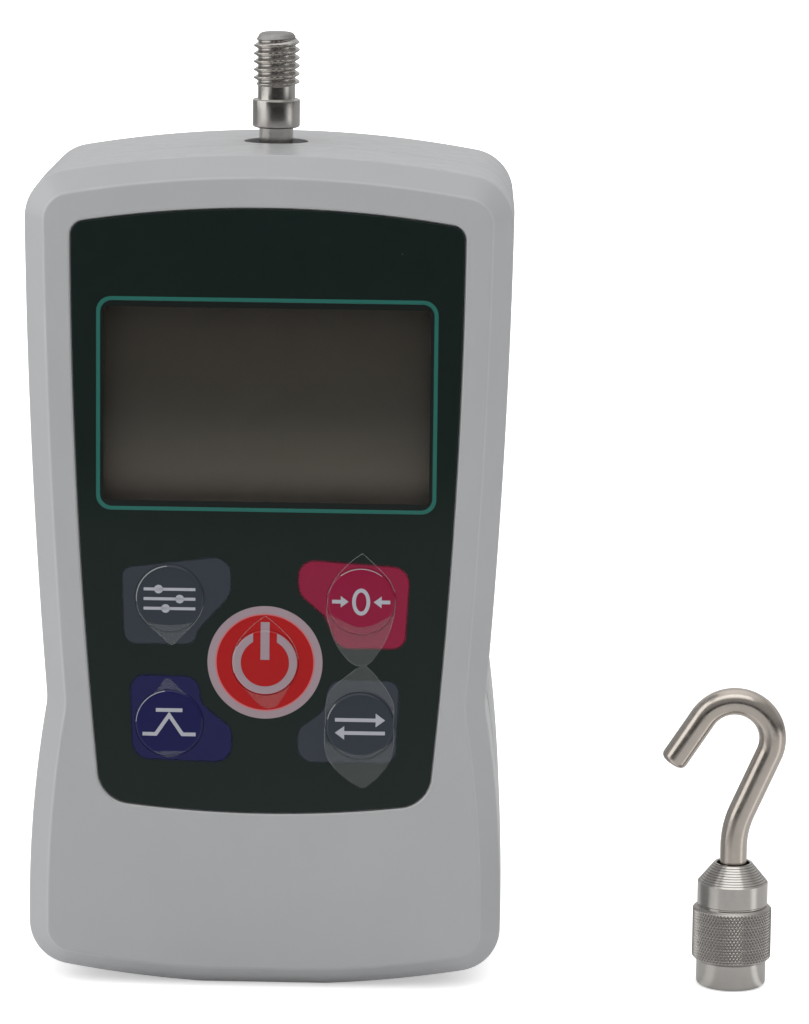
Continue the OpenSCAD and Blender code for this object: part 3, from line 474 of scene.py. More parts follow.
# Metals, and the blank display behind its clear window
STEEL = metal("turned_steel", (0.50, 0.48, 0.455), 0.17, turned=0.10)
KNURL_STEEL = metal("knurled_steel", (0.41, 0.39, 0.37), 0.2)
WIRE_STEEL = metal("wire_steel", (0.54, 0.49, 0.44), 0.2)
TIP_STEEL = metal("worn_steel", (0.37, 0.36, 0.355), 0.5, vary=0.25, bump=0.6, deep=0.00006)
LCD = plastic("blank_display", None, 0.38, bump=0.02)
LCD_LOW, LCD_TOP = 64.0, 89.0
lcd_up = LCD.span(LCD.split(LCD.place)[2], 0.0, 1.0, (LCD_LOW - ORIGIN_Z) * MM, (LCD_TOP - ORIGIN_Z) * MM)
# Painted shade: the display is darker at the top and lighter lower down, then darker again at its lowest
# edge, a painted shadow of the bezel
LCD_SHADE_STOPS = ((0.0, (0.087, 0.077, 0.064)), (0.12, (0.099, 0.085, 0.068)), (0.28, (0.071, 0.064, 0.050)),
             (0.43, (0.045, 0.041, 0.031)), (0.58, (0.040, 0.035, 0.025)), (1.0, (0.039, 0.032, 0.022)))
LCD_CLOUD, LCD_DUST = (0.060, 0.055, 0.047), (0.55, 0.54, 0.5)
lcd_painted_shade = LCD.blend(LCD.span(LCD.noise(150.0), 0.0, 0.1), LCD.ramp(lcd_up, LCD_SHADE_STOPS), LCD_CLOUD)
LCD.into("Base Color", LCD.blend(LCD.specks(130.0, 0.72, 0.03), lcd_painted_shade, LCD_DUST))
GLASS = Paint("window_clear", Alpha=0.06, Specular_IOR_Level=0.5, Coat_Weight=0.6, Coat_Roughness=0.04)
GLASS.into("Base Color", GLASS.blend(GLASS.noise(300.0, 4.0), (0.010, 0.010, 0.009), (0.020, 0.019, 0.018)))
GLASS.into("Roughness", GLASS.span(GLASS.noise(400.0, 4.0), 0.05, 0.12))

# Finishes of the CAD nodes that stay in the scene, by the record's slots: colour, roughness, variation, bump
PLASTICS = {
    "bezel_black": ((0.010, 0.010, 0.011), 0.5),
    "diffuser_white": ((0.72, 0.72, 0.68), 0.4),
    "strip_rubber": ((0.5, 0.28, 0.24), 0.6),
    "board_green": ((0.012, 0.075, 0.03), 0.35, 0.15),
    "chip_black": ((0.012, 0.012, 0.013), 0.55),
    "connector_ivory": ((0.6, 0.57, 0.48), 0.45),
    "plunger_ivory": ((0.55, 0.52, 0.44), 0.45),
    "gauge_foil": ((0.45, 0.2, 0.05), 0.4),
    "lead_grey": ((0.15, 0.155, 0.16), 0.5),
    "lead_red": ((0.25, 0.012, 0.008), 0.5),
    "sleeve_blue": ((0.012, 0.06, 0.17), 0.3),
    "foam_dark": ((0.035, 0.035, 0.037), 0.85, 0.04, 0.4),
}
METALS = {
    "steel_zinc": ((0.55, 0.56, 0.57), 0.3),
    "screw_black": ((0.035, 0.035, 0.038), 0.42),
    "cell_aluminium": ((0.72, 0.73, 0.74), 0.34),
    "battery_can": ((0.6, 0.61, 0.6), 0.25),
    "brass": ((0.72, 0.5, 0.2), 0.28),
}
SLOT_LOOKS = {"lcd_glass": LCD, "window_clear": GLASS}
SLOT_LOOKS |= {slot: plastic(f"{slot}_look", *look) for slot, look in PLASTICS.items()}
SLOT_LOOKS |= {slot: metal(f"{slot}_look", *look) for slot, look in METALS.items()}
slot_of = {s["node"]: s["material_slot"] for s in frame["record"]["subparts"]}
for node, obj in frame["nodes"].items():
    look = SLOT_LOOKS.get(slot_of[node])
    if look:
        obj.data.materials.clear()
        obj.data.materials.append(look.material)

# Front shell: flat face, soft bevel, drafted side; recess, window, key wells and notch are cut out
front_profile = fillet(
    [(FACE_IN, FRONT_Y), (BEVEL_W, FRONT_Y), (0.0, FRONT_Y + BEVEL_D), (FRONT_TAPER, PARTING_Y),
     (WALL, PARTING_Y), (WALL, FRONT_IN_Y)],
    [0, 0.5, 0.7, 0.15, 0, 0])
front = make("front_case", loft([ring(FRONT_ARCS, i, y) for i, y in front_profile]), SHELL)
FILM_GAP, RECESS_EDGE = 0.15, 0.2
recess = loft([ring(FILM_ARCS, -i, y) for i, y in (
    (FILM_GAP + RECESS_EDGE + BEYOND, FRONT_Y - BEYOND), (FILM_GAP, FRONT_Y + RECESS_EDGE),
    (FILM_GAP, RECESS_Y))])


def round_rect(w, h, r, steps=8):
    """Corner points of a rounded rectangle, anticlockwise seen from the front."""
    out = []
    for k, (sx, sz) in enumerate(((1, -1), (1, 1), (-1, 1), (-1, -1))):
        for i in range(steps + 1):
            a = pi / 2 * (k - 1 + i / steps)
            out.append((sx * (w / 2 - r) + r * cos(a), sz * (h / 2 - r) + r * sin(a)))
    return out


def at_window(w, h, r):
    return [(x, z + WINDOW_Z) for x, z in round_rect(w, h, r)]


def slab(points, y0, y1):
    return loft([[(x, y, z) for x, z in points] for y in (y0, y1)])


def rod(x, z, y0, y1, r, steps=48):
    return spin([(0, y0), (r, y0), (r, y1), (0, y1)], (x, 0, z), "Y", steps)


LEDGE, WELL_D = 2.1, 1.5
NOTCH_Z, NOTCH_W, NOTCH_H, NOTCH_R, NOTCH_ENDS = 70.0, 7.2, 9.6, 1.5, (-40.0, -24.0)
window_hole = slab(at_window(WINDOW_W + LEDGE, WINDOW_H + LEDGE, WINDOW_R),
                   FRONT_Y - BEYOND, FRONT_IN_Y + BEYOND)
wells = [rod(x, z, FRONT_Y - BEYOND, FRONT_Y + WELL_D, KEY_RADII[key] + WELL_GAP)
         for key, (x, z) in KEY_PLACES.items()]
notch = loft([[(x, PARTING_Y + a, NOTCH_Z + b) for a, b in round_rect(NOTCH_W, NOTCH_H, NOTCH_R)]
              for x in NOTCH_ENDS])
carve(front, recess, window_hole, notch, *wells)
place(front, "case", "shell_grey", "front_shell")

# Rear shell: seam groove, waist that swells to its own width, rounded rear edge, holes
SEAM_Y = PARTING_Y + SEAM
REAR_EDGE_R, LIP, LIP_D, LIP_OUT = 2.0, ((0.15, 0.0), (0.04, 0.05)), 0.16, 0.1
SWELL_D, SWELL_STEPS = 6.0, 8
rear_side = fillet([(FRONT_TAPER, SEAM_Y), (REAR_TAPER, BACK_Y), (FACE_IN, BACK_Y)], [0, REAR_EDGE_R, 0], 10)
rear_rings = [ring(FRONT_ARCS, i, y) for i, y in (
    (WALL + REAR_TAPER, BACK_IN_Y), (WALL, PARTING_Y), (FRONT_TAPER + SEAM, PARTING_Y),
    (FRONT_TAPER + SEAM, SEAM_Y))]
lip_arcs = body_arcs(FRONT_WAIST + LIP_OUT)
rear_rings += [ring(lip_arcs, FRONT_TAPER + i, SEAM_Y + d) for i, d in LIP]
for k in range(1, SWELL_STEPS + 1):
    t = k / SWELL_STEPS
    waist = FRONT_WAIST + LIP_OUT + (REAR_WAIST - FRONT_WAIST - LIP_OUT) * sin(t * pi / 2)
    y = SEAM_Y + LIP_D + SWELL_D * t
    taper = FRONT_TAPER + (REAR_TAPER - FRONT_TAPER) * (y - SEAM_Y) / (BACK_Y - SEAM_Y)
    rear_rings.append(ring(body_arcs(waist), taper, y))
rear_rings += [ring(REAR_ARCS, i, y) for i, y in rear_side[1:]]
rear = make("rear_case", loft(rear_rings), SHELL)
HOLE_R, HOLE_LOW, HOLE_BEVEL = 4.1, 95.0, 0.25
SCREW_R, INSERT_R = 3.0, 2.35
hole = spin([(0, HOLE_LOW), (HOLE_R, HOLE_LOW), (HOLE_R, BODY_H - HOLE_BEVEL),
             (HOLE_R + HOLE_BEVEL + BEYOND, BODY_H + BEYOND), (0, BODY_H + BEYOND)], (0, 0, 0))
bores = [rod(x, z, BACK_IN_Y - BEYOND, BACK_Y + BEYOND, SCREW_R) for x, z in CORNER_PLACES]
bores += [rod(x, z, BACK_IN_Y - BEYOND, BACK_Y + BEYOND, INSERT_R) for x, z in INSERT_PLACES]
carve(rear, hole, *bores)
place(rear, "case", "shell_grey", "rear_shell")
SEAT_Y, SEAT_T, SHANK_R, SCREW_TUBE_R = PARTING_Y + 10.0, 2, 1.55, 4.2
INSERT_END_Y, INSERT_SEAT_Y, INSERT_TUBE_R = 10.4, 11.4, 3.7
TUBE_ROOT = 0.5


def tube(x, z, hole_r, bore_r, outer_r, end_y, seat_y):
    """A tube that reaches inwards from the back wall, with a seat near its end."""
    root_y = BACK_IN_Y + TUBE_ROOT
    return spin([(hole_r, end_y), (outer_r, end_y), (outer_r, root_y), (bore_r, root_y), (bore_r, seat_y),
                 (hole_r, seat_y)], (x, 0, z), "Y", 40)


tubes = [tube(x, z, SHANK_R, SCREW_R, SCREW_TUBE_R, SEAT_Y - SEAT_T, SEAT_Y) for x, z in CORNER_PLACES]
tubes += [tube(x, z, 0, INSERT_R, INSERT_TUBE_R, INSERT_END_Y, INSERT_SEAT_Y) for x, z in INSERT_PLACES]
place(make("screw_tubes", join(*tubes), SHELL), "case", "shell_grey")

# Overlay film with its openings, and the prints on it
FILM_BEVEL = 0.15
film_profile = [(0.0, RECESS_Y), (0.0, FILM_Y + FILM_BEVEL), (FILM_BEVEL, FILM_Y)]
overlay = make("overlay", loft([ring(FILM_ARCS, i, y) for i, y in film_profile]), FILM)
opening = slab(at_window(WINDOW_W, WINDOW_H, WINDOW_R), FILM_Y - BEYOND, RECESS_Y + BEYOND)
key_holes = [rod(x, z, FILM_Y - BEYOND, RECESS_Y + BEYOND, KEY_RADII[key] + KEY_GAP, 96)
             for key, (x, z) in KEY_PLACES.items()]
carve(overlay, opening, *key_holes)
place(overlay, "case", "overlay_film", "keypad_overlay")


def flat_print(name, outer, holes, paint, body="case", slot="overlay_film", surface=None, lift=INK_LIFT,
               fine=0.5):
    """Ink that faces the front: an outline with holes in (x, z), cut fine to follow what it lies on."""
    loops = [outer] + list(holes)
    bm = bmesh.new()
    verts = [bm.verts.new((x, 0, z)) for loop in loops for x, z in loop]
    for t in tessellate_polygon([[Vector((x, z, 0)) for x, z in loop] for loop in loops]):
        bm.faces.new([verts[i] for i in t])
    if surface:
        for _ in range(MOST_CUTS):
            long = [e for e in bm.edges if e.calc_length() > fine]
            if not long:
                break
            bmesh.ops.subdivide_edges(bm, edges=long, cuts=1, use_grid_fill=False)
            bmesh.ops.triangulate(bm, faces=[f for f in bm.faces if len(f.verts) > 3])
    for v in bm.verts:
        v.co = row(v.co.x, (surface(v.co.x, v.co.z) if surface else FILM_Y) - lift, v.co.z)
    for f in bm.faces:
        f.normal_update()
        if f.normal.y > 0:
            f.normal_flip()
    mesh = bpy.data.meshes.new(name)
    bm.to_mesh(mesh)
    bm.free()
    mesh.materials.append(paint.material)
    mesh.polygons.foreach_set("use_smooth", [True] * len(mesh.polygons))
    place(add(name, mesh), body, slot)


def ellipse(cx, cz, rx, rz, steps=48):
    return [(cx + rx * cos(a), cz + rz * sin(a)) for a in round_about(steps)]


def circle(cx, cz, r, steps=96):
    return ellipse(cx, cz, r, r, steps)


FRAME_IN, FRAME_OUT, FRAME_R = 0.06, 1.06, 1.9
flat_print("display_frame", at_window(WINDOW_W + FRAME_OUT, WINDOW_H + FRAME_OUT, FRAME_R),
           [at_window(WINDOW_W + FRAME_IN, WINDOW_H + FRAME_IN, WINDOW_R)], TEAL)


def rounded(corners, steps=10):
    """A closed polygon of corners (x, z, radius), rounded."""
    points = [(x, z) for x, z, r in corners]
    (x0, z0), (x1, z1) = points[0], points[-1]
    middle = ((x0 + x1) / 2, (z0 + z1) / 2)
    return fillet([middle] + points + [middle], [0] + [r for x, z, r in corners] + [0], steps)[:-1]


def grown(points, by):
    """A closed outline moved outwards, whichever way it runs."""
    pts = [complex(*p) for p in points]
    area = sum((a.conjugate() * b).imag for a, b in zip(pts, pts[1:] + pts[:1]))
    outward = -1j * copysign(1.0, area)
    out = []
    for a, p, b in zip(pts[-1:] + pts, pts, pts[1:] + pts[:1]):
        p += by * outward * (b - a) / abs(b - a)
        out.append((p.real, p.imag))
    return out


# Colour patches round the keys, as corners (x, z, radius); their ink bleeds a little at the edge
PATCHES = {
    "set": [(-18.0, 45.2, 1.7), (-9.1, 45.3, 1.6), (-8.5, 47.2, 1.8),
            (-4.4, 51.8, 2.8), (-4.4, 56.9, 2.8), (-18.3, 55.1, 1.2)],
    "zero": [(17.8, 45.1, 1.7), (9.3, 45.0, 2.2), (7.6, 49.2, 1.8),
             (4.2, 52.1, 2.6), (4.2, 56.5, 2.6), (18.4, 55.6, 2.2)],
    "peak": [(-16.9, 30.2, 2.4), (-4.2, 29.9, 2.6), (-4.2, 34.4, 2.2),
             (-8.1, 37.5, 2.2), (-8.6, 41.1, 2.0), (-17.2, 41.2, 1.8)],
    "unit": [(16.8, 30.1, 1.8), (4.2, 30.1, 2.4), (4.2, 34.3, 2.0),
             (7.6, 37.0, 1.8), (8.1, 41.0, 2.4), (17.2, 40.9, 1.6)],
}
BLEED_W, BLEED_ALPHAS = 0.13, (0.6, 0.25)
for key, corners in PATCHES.items():
    x, z = KEY_PLACES[key]
    shape = grown(rounded(corners), -BLEED_W)
    flat_print(f"{key}_patch", shape, [circle(x, z, KEY_R + KEY_GAP)], INKS[KEY_SHADES[key]], "case",
               SLOTS[key])
    for i, alpha in enumerate(BLEED_ALPHAS):
        bleed = film(f"{key}_bleed_ink_{i}", SHADES[KEY_SHADES[key]], alpha=alpha)
        flat_print(f"{key}_bleed_{i}", grown(shape, (i + 1) * BLEED_W), [grown(shape, i * BLEED_W)],
                   bleed, "case", SLOTS[key])
px, pz = KEY_PLACES["power"]
RING_R, RING_IN_R, HALO_R, HALO_IN_R, DISC_R = 7.345, 6.26, 6.36, 6.18, 6.265
flat_print("power_ring", circle(px, pz, RING_R), [circle(px, pz, RING_IN_R)], PALE)
flat_print("power_halo", circle(px, pz, HALO_R), [circle(px, pz, HALO_IN_R)], HALO, "case", "key_red",
           lift=1.5 * INK_LIFT)
flat_print("power_disc", circle(px, pz, DISC_R), [circle(px, pz, POWER_R + KEY_GAP)], INKS["red"], "case",
           "key_red")


# Keys: embossed domes with a quick rise at the rim and a gentle crown
RIM_W, RIM_H = 0.36, 0.23
RIM_STEPS, CROWN_STEPS = 8, 12
DOME_D, STEM_D, STEM_R, STEM_END_Y = 0.6, 0.5, 1.6, -15.0


def dome_y(r, radius):
    """Depth of a dome's surface at a distance from its middle."""
    inner = radius - RIM_W
    if r >= inner:
        t = min(1.0, (radius - r) / RIM_W)
        return FILM_Y - RIM_H * sin(t * pi / 2)
    return FILM_Y - RIM_H - (CROWN - RIM_H) * (1 - (r / inner) ** 2)


def on_dome(key):
    (x, z), radius = KEY_PLACES[key], KEY_RADII[key]
    return lambda a, b: dome_y(hypot(a - x, b - z), radius)


def dome(radius):
    rises = [radius - RIM_W * k / RIM_STEPS for k in range(RIM_STEPS + 1)]
    rises += [(radius - RIM_W) * (1 - k / CROWN_STEPS) for k in range(1, CROWN_STEPS + 1)]
    return [(0.0, FILM_Y + DOME_D), (radius, FILM_Y + DOME_D)] + [(r, dome_y(r, radius)) for r in rises]


for key, (x, z) in KEY_PLACES.items():
    ink = film(f"{key}_dome_ink", SHADES[KEY_SHADES[key]], coat=0.2)
    stem = rod(x, z, FILM_Y + STEM_D, STEM_END_Y, STEM_R, 32)
    cap = spin(dome(KEY_RADII[key]), (x, 0, z), "Y", 96)
    button = make(f"{key}_dome", join(cap, stem), ink, sharp=60.0)
    place(button, f"{key}_button", SLOTS[key], f"{key}_key")


# Legends: plain signs in place of words
HEAD_SLIM = 0.75  # half width of an arrow's head, as a share of its length


def stroke(points, w):
    """Outline of a line of constant width through points, with mitred corners and square ends."""
    pts = [complex(*p) for p in points]
    runs = [(b - a) / abs(b - a) for a, b in zip(pts, pts[1:])]
    left, right = [], []
    for p, u, v in zip(pts, runs[:1] + runs, runs + runs[-1:]):
        n = 1j * (u + v) / abs(u + v)
        reach = w / 2 / max(0.5, (n * (1j * u).conjugate()).real)
        left.append(p + n * reach)
        right.append(p - n * reach)
    return [(q.real, q.imag) for q in left + right[::-1]]


def arrow(x0, x1, z, w, head):
    """A straight arrow along x, its head at x1."""
    s = 1 if x1 > x0 else -1
    neck = x1 - s * head
    low = [(x0, z - w / 2), (neck, z - w / 2), (neck, z - head * HEAD_SLIM)]
    high = [(neck, z + head * HEAD_SLIM), (neck, z + w / 2), (x0, z + w / 2)]
    pts = low + [(x1, z)] + high
    return pts if s > 0 else pts[::-1]


LINE = 0.48
SIGNS = {
    "set": [[loop] for z, knob in ((1.25, -1.4), (0.0, 1.3), (-1.25, -0.5))
            for loop in (stroke([(-3.3, z), (3.3, z)], LINE * 0.8), circle(knob, z, 0.56, 24))],
    "zero": [[ellipse(0, 0, 1.15, 1.75), ellipse(0, 0, 0.68, 1.25)[::-1]],
             [arrow(-3.7, -1.6, 0, LINE, 1.0)], [arrow(3.7, 1.6, 0, LINE, 1.0)]],
    "peak": [[stroke([(-3.4, -1.4), (-1.7, -1.4), (0, 1.1), (1.7, -1.4), (3.4, -1.4)], LINE)],
             [stroke([(-1.7, 1.75), (1.7, 1.75)], LINE)]],
    "unit": [[arrow(-3.2, 3.2, 0.85, LINE, 1.2)], [arrow(3.2, -3.2, -0.85, LINE, 1.2)]],
}
for key, parts in SIGNS.items():
    x, z = KEY_PLACES[key]
    for i, loops in enumerate(parts):
        outer, *holes = ([(a + x, b + z) for a, b in loop] for loop in loops)
        flat_print(f"{key}_sign_{i}", outer, holes, LEGEND, f"{key}_button", SLOTS[key],
                   surface=on_dome(key))

# Power sign: an open arc and a bar, whose upper end lies on the film outside the key
ARC_R, ARC_IN_R, GAP_HALF, ARC_STEPS, POWER_FINE = 4.1, 3.085, 1.52, 72, 0.15
BAR_HALF, BAR_LOW, BAR_KEY_TOP, BAR_FILM_LOW, BAR_TOP = 0.57, 0.4, 4.23, 4.2, 5.26


def open_ring(r):
    """A circle about the power key, open at the top between upright cuts."""
    gap = asin(GAP_HALF / r)
    start, end = pi / 2 + gap, pi * 2.5 - gap
    turns = [start + (end - start) * k / ARC_STEPS for k in range(ARC_STEPS + 1)]
    return [(px + r * cos(a), pz + r * sin(a)) for a in turns]


def bar(low, high):
    return [(px + sx * BAR_HALF, pz + z) for sx, z in ((-1, low), (1, low), (1, high), (-1, high))]


flat_print("power_sign_arc", open_ring(ARC_R) + open_ring(ARC_IN_R)[::-1], [], PALE, "power_button",
           "key_red", surface=on_dome("power"), fine=POWER_FINE)
flat_print("power_sign_bar", bar(BAR_LOW, BAR_KEY_TOP), [], PALE, "power_button",
           "key_red", surface=on_dome("power"), fine=POWER_FINE)
flat_print("power_sign_top", bar(BAR_FILM_LOW, BAR_TOP), [], PALE, lift=2 * INK_LIFT)

# Faint lens-shaped lifts of the film round the keys: hazes and their thin edges, whose paleness is a painted
# reflection of the floor, split between key and case.
# A haze lies between an inner and an outer line about the key's middle; an edge is one line.
ZERO_LOW = [(-4.0, -3.2), (-3.4, -5.0), (-2.3, -6.8), (-1.2, -7.95), (0.0, -8.35), (1.2, -7.9), (2.4, -6.3),
            (3.5, -4.2), (4.2, -1.7)]
UNIT_TOP = [(4.2, 3.0), (3.4, 4.7), (2.2, 6.3), (1.0, 7.6), (0.3, 7.75), (-0.5, 7.45), (-2.4, 6.0),
            (-3.8, 4.6)]
LIFTS = {
    "set": (
        [([(-2.75, -3.15), (-1.6, -3.3), (0.3, -3.35), (2.0, -3.25), (3.0, -3.0)],
          [(-2.75, -3.3), (-1.2, -4.75), (0.0, -5.85), (0.3, -5.95), (0.6, -5.85), (1.7, -4.65),
           (3.0, -3.25)])],
        [[(-4.2, -0.9), (-3.7, -2.2), (-2.75, -3.3), (-1.2, -4.75), (0.0, -5.85), (0.6, -5.85),
          (1.7, -4.65), (3.0, -3.3), (3.8, -2.2), (4.3, -0.9)]]),
    "peak": (
        [([(2.2, 3.75), (1.0, 4.3), (0.0, 4.4), (-1.0, 4.3), (-2.0, 3.8)],
          [(2.2, 3.8), (1.1, 4.75), (0.3, 5.65), (-0.3, 5.8), (-0.8, 5.55), (-1.2, 4.85), (-2.0, 3.85)]),
         ([(-1.9, -3.75), (-0.6, -3.6), (0.4, -3.6), (1.6, -3.6), (2.0, -3.6)],
          [(-1.9, -3.85), (-0.6, -4.4), (0.2, -4.5), (1.0, -4.3), (2.0, -3.7)])],
        []),
    "zero": (
        [([(-4.2, -1.55), (-2.4, -2.5), (-0.8, -3.2), (0.4, -3.25), (1.9, -2.8), (4.1, -1.55)],
          [(-4.25, -1.7)] + ZERO_LOW)],
        [[(4.3, 1.2), (3.5, 2.9), (1.9, 4.6), (0.3, 6.05), (-0.1, 6.1), (-1.8, 4.7), (-3.3, 2.9),
          (-4.3, 0.8)],
         [(-4.25, 0.4), (-4.35, -1.7)] + ZERO_LOW + [(4.35, 0.4)]]),
    "unit": (
        [([(4.2, 1.7), (3.3, 3.3), (1.6, 4.35), (0.0, 4.5), (-1.6, 4.3), (-3.0, 3.3), (-4.0, 1.6)],
          [(4.25, 1.8)] + UNIT_TOP + [(-4.3, 3.0), (-4.25, 1.8)]),
         ([(-4.1, -2.1), (-2.4, -3.1), (-0.9, -3.6), (0.2, -3.7), (1.6, -3.4), (4.1, -2.1)],
          [(-4.45, -2.3), (-4.2, -4.0), (-3.2, -5.6), (-1.8, -6.9), (-0.3, -7.9), (0.4, -8.15),
           (1.1, -7.8), (2.7, -6.3), (3.9, -4.4), (4.2, -2.3)])],
        [[(4.25, 0.2), (4.3, 1.8)] + UNIT_TOP + [(-4.35, 3.0), (-4.4, 1.4), (-4.45, 0.0)],
         [(-4.5, -0.2), (-4.5, -2.3), (-4.2, -4.0), (-3.2, -5.6)],
         [(3.9, -4.4), (4.3, -2.3), (4.3, -0.1)]]),
    "power": (
        [([(-2.6, -3.4), (-1.4, -4.05), (0.0, -4.3), (1.5, -4.0), (3.2, -2.9)],
          [(-2.6, -3.45), (-1.6, -4.6), (-0.6, -5.6), (0.3, -5.95), (1.4, -5.75), (2.2, -4.7),
           (3.2, -3.0)])],
        [[(4.25, 0.5), (3.5, 2.7), (1.7, 4.7), (0.15, 5.95), (-0.15, 5.95), (-1.7, 4.7), (-3.4, 2.7),
          (-4.2, 0.5)]]),
}
EDGE_W, RIM_IN = 0.1, 0.14
LIFT_STEP, LIFT_EASE, LIFT_OVER = radians(1.5), 1.6, 2.5 * INK_LIFT
KEY_CUTS, CASE_CUTS, ANYWHERE, EASE_STEPS = 18, 4, 99.0, 8


def eased(points):
    """A smooth line through points, cut fine."""
    out = []
    for i in range(len(points) - 1):
        a, b, c, d = (points[min(max(i + k, 0), len(points) - 1)] for k in (-1, 0, 1, 2))
        for k in range(EASE_STEPS):
            t = k / EASE_STEPS
            out.append(tuple(0.5 * (2 * q + (r - p) * t + (2 * p - 5 * q + 4 * r - u) * t * t
                                    + (3 * q - p - 3 * r + u) * t ** 3) for p, q, r, u in zip(a, b, c, d)))
    return out + [points[-1]]


def by_bearing(points):
    """Bearing and distance from the middle along an eased line that runs anticlockwise."""
    line = [complex(*p) for p in eased(points)]
    turned = [phase(line[0])]
    for a, b in zip(line, line[1:]):
        turned.append(max(turned[-1] + 1e-6, turned[-1] + phase(b / a)))
    return list(zip(turned, map(abs, line)))


def value_at(table, x):
    """Value of a table at x, straight between its entries."""
    for (x0, y0), (x1, y1) in zip(table, table[1:]):
        if x <= x1:
            return y0 + (y1 - y0) * max(0.0, x - x0) / (x1 - x0)
    return table[-1][1]


def lift_strip(name, inner_at, outer_at, start, end, paint, key, slot):
    """Pale haze, a painted reflection, between two distances from a key's middle: on the dome it rides the
    key, elsewhere the case.
    """
    (x, z), radius = KEY_PLACES[key], KEY_RADII[key]
    count = max(2, ceil((end - start) / LIFT_STEP))
    bearings = [start + (end - start) * k / count for k in range(count + 1)]
    for title, body, low_r, high_r, cuts in (("on_key", f"{key}_button", 0.0, radius, KEY_CUTS),
                                             ("on_case", "case", radius, ANYWHERE, CASE_CUTS)):
        rings = []
        for k in range(cuts + 1):
            one = []
            for a in bearings:
                near_r, far_r = (min(max(r, low_r), high_r) for r in (inner_at(a), outer_at(a)))
                r = near_r + (max(far_r, near_r) - near_r) * (1 - (1 - k / cuts) ** LIFT_EASE)
                y = dome_y(min(r, radius), radius) - LIFT_OVER
                one.append((x + r * cos(a), y, z + r * sin(a)))
            rings.append(one)
        strip = make(f"{name}_{title}", loft(rings, False, False, wrap=False), paint, sharp=180.0)
        if not strip.data.polygons:
            bpy.data.objects.remove(strip)
            continue
        if sum(f.normal.y * f.area for f in strip.data.polygons) > 0:
            strip.data.flip_normals()
        place(strip, body, slot)


def edge_strip(name, distance, start, end, paint, key):
    lift_strip(name, lambda a: distance(a) - EDGE_W / 2, lambda a: distance(a) + EDGE_W / 2,
               start, end, paint, key, "overlay_film")


for key, (fills, edges) in LIFTS.items():
    for i, lines in enumerate(fills):
        near_line, far_line = map(by_bearing, lines)
        start, end = max(near_line[0][0], far_line[0][0]), min(near_line[-1][0], far_line[-1][0])
        lift_strip(f"{key}_lift_{i}", lambda a: value_at(near_line, a), lambda a: value_at(far_line, a),
                   start, end, LIFT_REFLECTION, key, SLOTS[key])
    for i, points in enumerate(edges):
        line = by_bearing(points)
        edge_strip(f"{key}_edge_{i}", lambda a: value_at(line, a), line[0][0], line[-1][0], LIFT_EDGE_REFLECTION, key)

# Painted highlights: pale glints on the rims of the domes, from and to a bearing in degrees
RIM_GLINT_ARCS = {"set": (95, 185), "peak": (98, 178), "zero": (52, 128), "unit": (138, 168), "power": (150, 200)}
for key, (start, end) in RIM_GLINT_ARCS.items():
    edge_strip(f"{key}_rim_arc", lambda a: KEY_RADII[key] - RIM_IN, radians(start), radians(end),
               RIM_GLINT, key)

# Display: clear window level with the film, a dark printed mask inside it
PANE_GAP, PANE_LEDGE, PANE_R, PANE_FREE = -0.1, 2.0, 1.45, 0.05
MASK_GAP, MASK_IN_W, MASK_IN_H, MASK_IN_R = -0.06, 41.3, 24.8, 0.4
pane_levels = ((PANE_GAP, FILM_Y), (PANE_GAP, RECESS_Y), (PANE_LEDGE, RECESS_Y),
               (PANE_LEDGE, FRONT_IN_Y - PANE_FREE))
pane = loft([[(x, y, z) for x, z in at_window(WINDOW_W + grow, WINDOW_H + grow, PANE_R)]
             for grow, y in pane_levels])
place(make("window", pane, GLASS), "case", "window_clear", "display_window")
flat_print("window_mask", at_window(WINDOW_W + MASK_GAP, WINDOW_H + MASK_GAP, PANE_R),
           [at_window(MASK_IN_W, MASK_IN_H, MASK_IN_R)], MASK, lift=INK_LIFT / 2)

# Load shaft with a true helix
SHAFT_STEPS = 96
CREST_R, ROOT_R, PITCH = 2.97, 2.40, 1.03
THREAD_LOW, TIP_Z, TIP_R, WORN_H = 115.1, 121.6, 1.7, 0.85
RUN_OUT, CREST_UP, CREST_FLAT, FLANK = 0.35, 0.66, 0.07, 0.35
STUD_R, STUD_LOW, STUD_TOP = 2.0, 88.3, 97.2
NECK_R, NECK_TOP, COLLAR_R, COLLAR_TOP, RELIEF_TOP = 2.2, 109.4, 3.05, 113.0, 114.7
THREAD_STEP, LAST_STEP = 0.04, 0.02
# Radius of the worn, rounded tip by the distance below its top
TIP_SHAPE = ((0.0, 1.75), (0.06, 1.98), (0.15, 2.14), (0.3, 2.27), (0.5, 2.38), (0.8, 2.55), (1.1, 2.82),
             (1.35, 3.05), (9.0, 3.05))


def thread_r(a, z):
    """Radius of the threaded end at a bearing and height, right-handed."""
    if z < THREAD_LOW - RUN_OUT:
        return ROOT_R
    crest = THREAD_LOW + CREST_UP + (a / (2 * pi) - 0.5) * PITCH
    u = abs(((z - crest) / PITCH + 0.5) % 1.0 - 0.5)
    t = min(1.0, max(0.0, (u - CREST_FLAT) / FLANK))
    fade = min(1.0, max(0.0, (z - THREAD_LOW + RUN_OUT) / RUN_OUT))
    return min(ROOT_R + (CREST_R - ROOT_R) * (1 - t) * fade, value_at(TIP_SHAPE, TIP_Z - z))


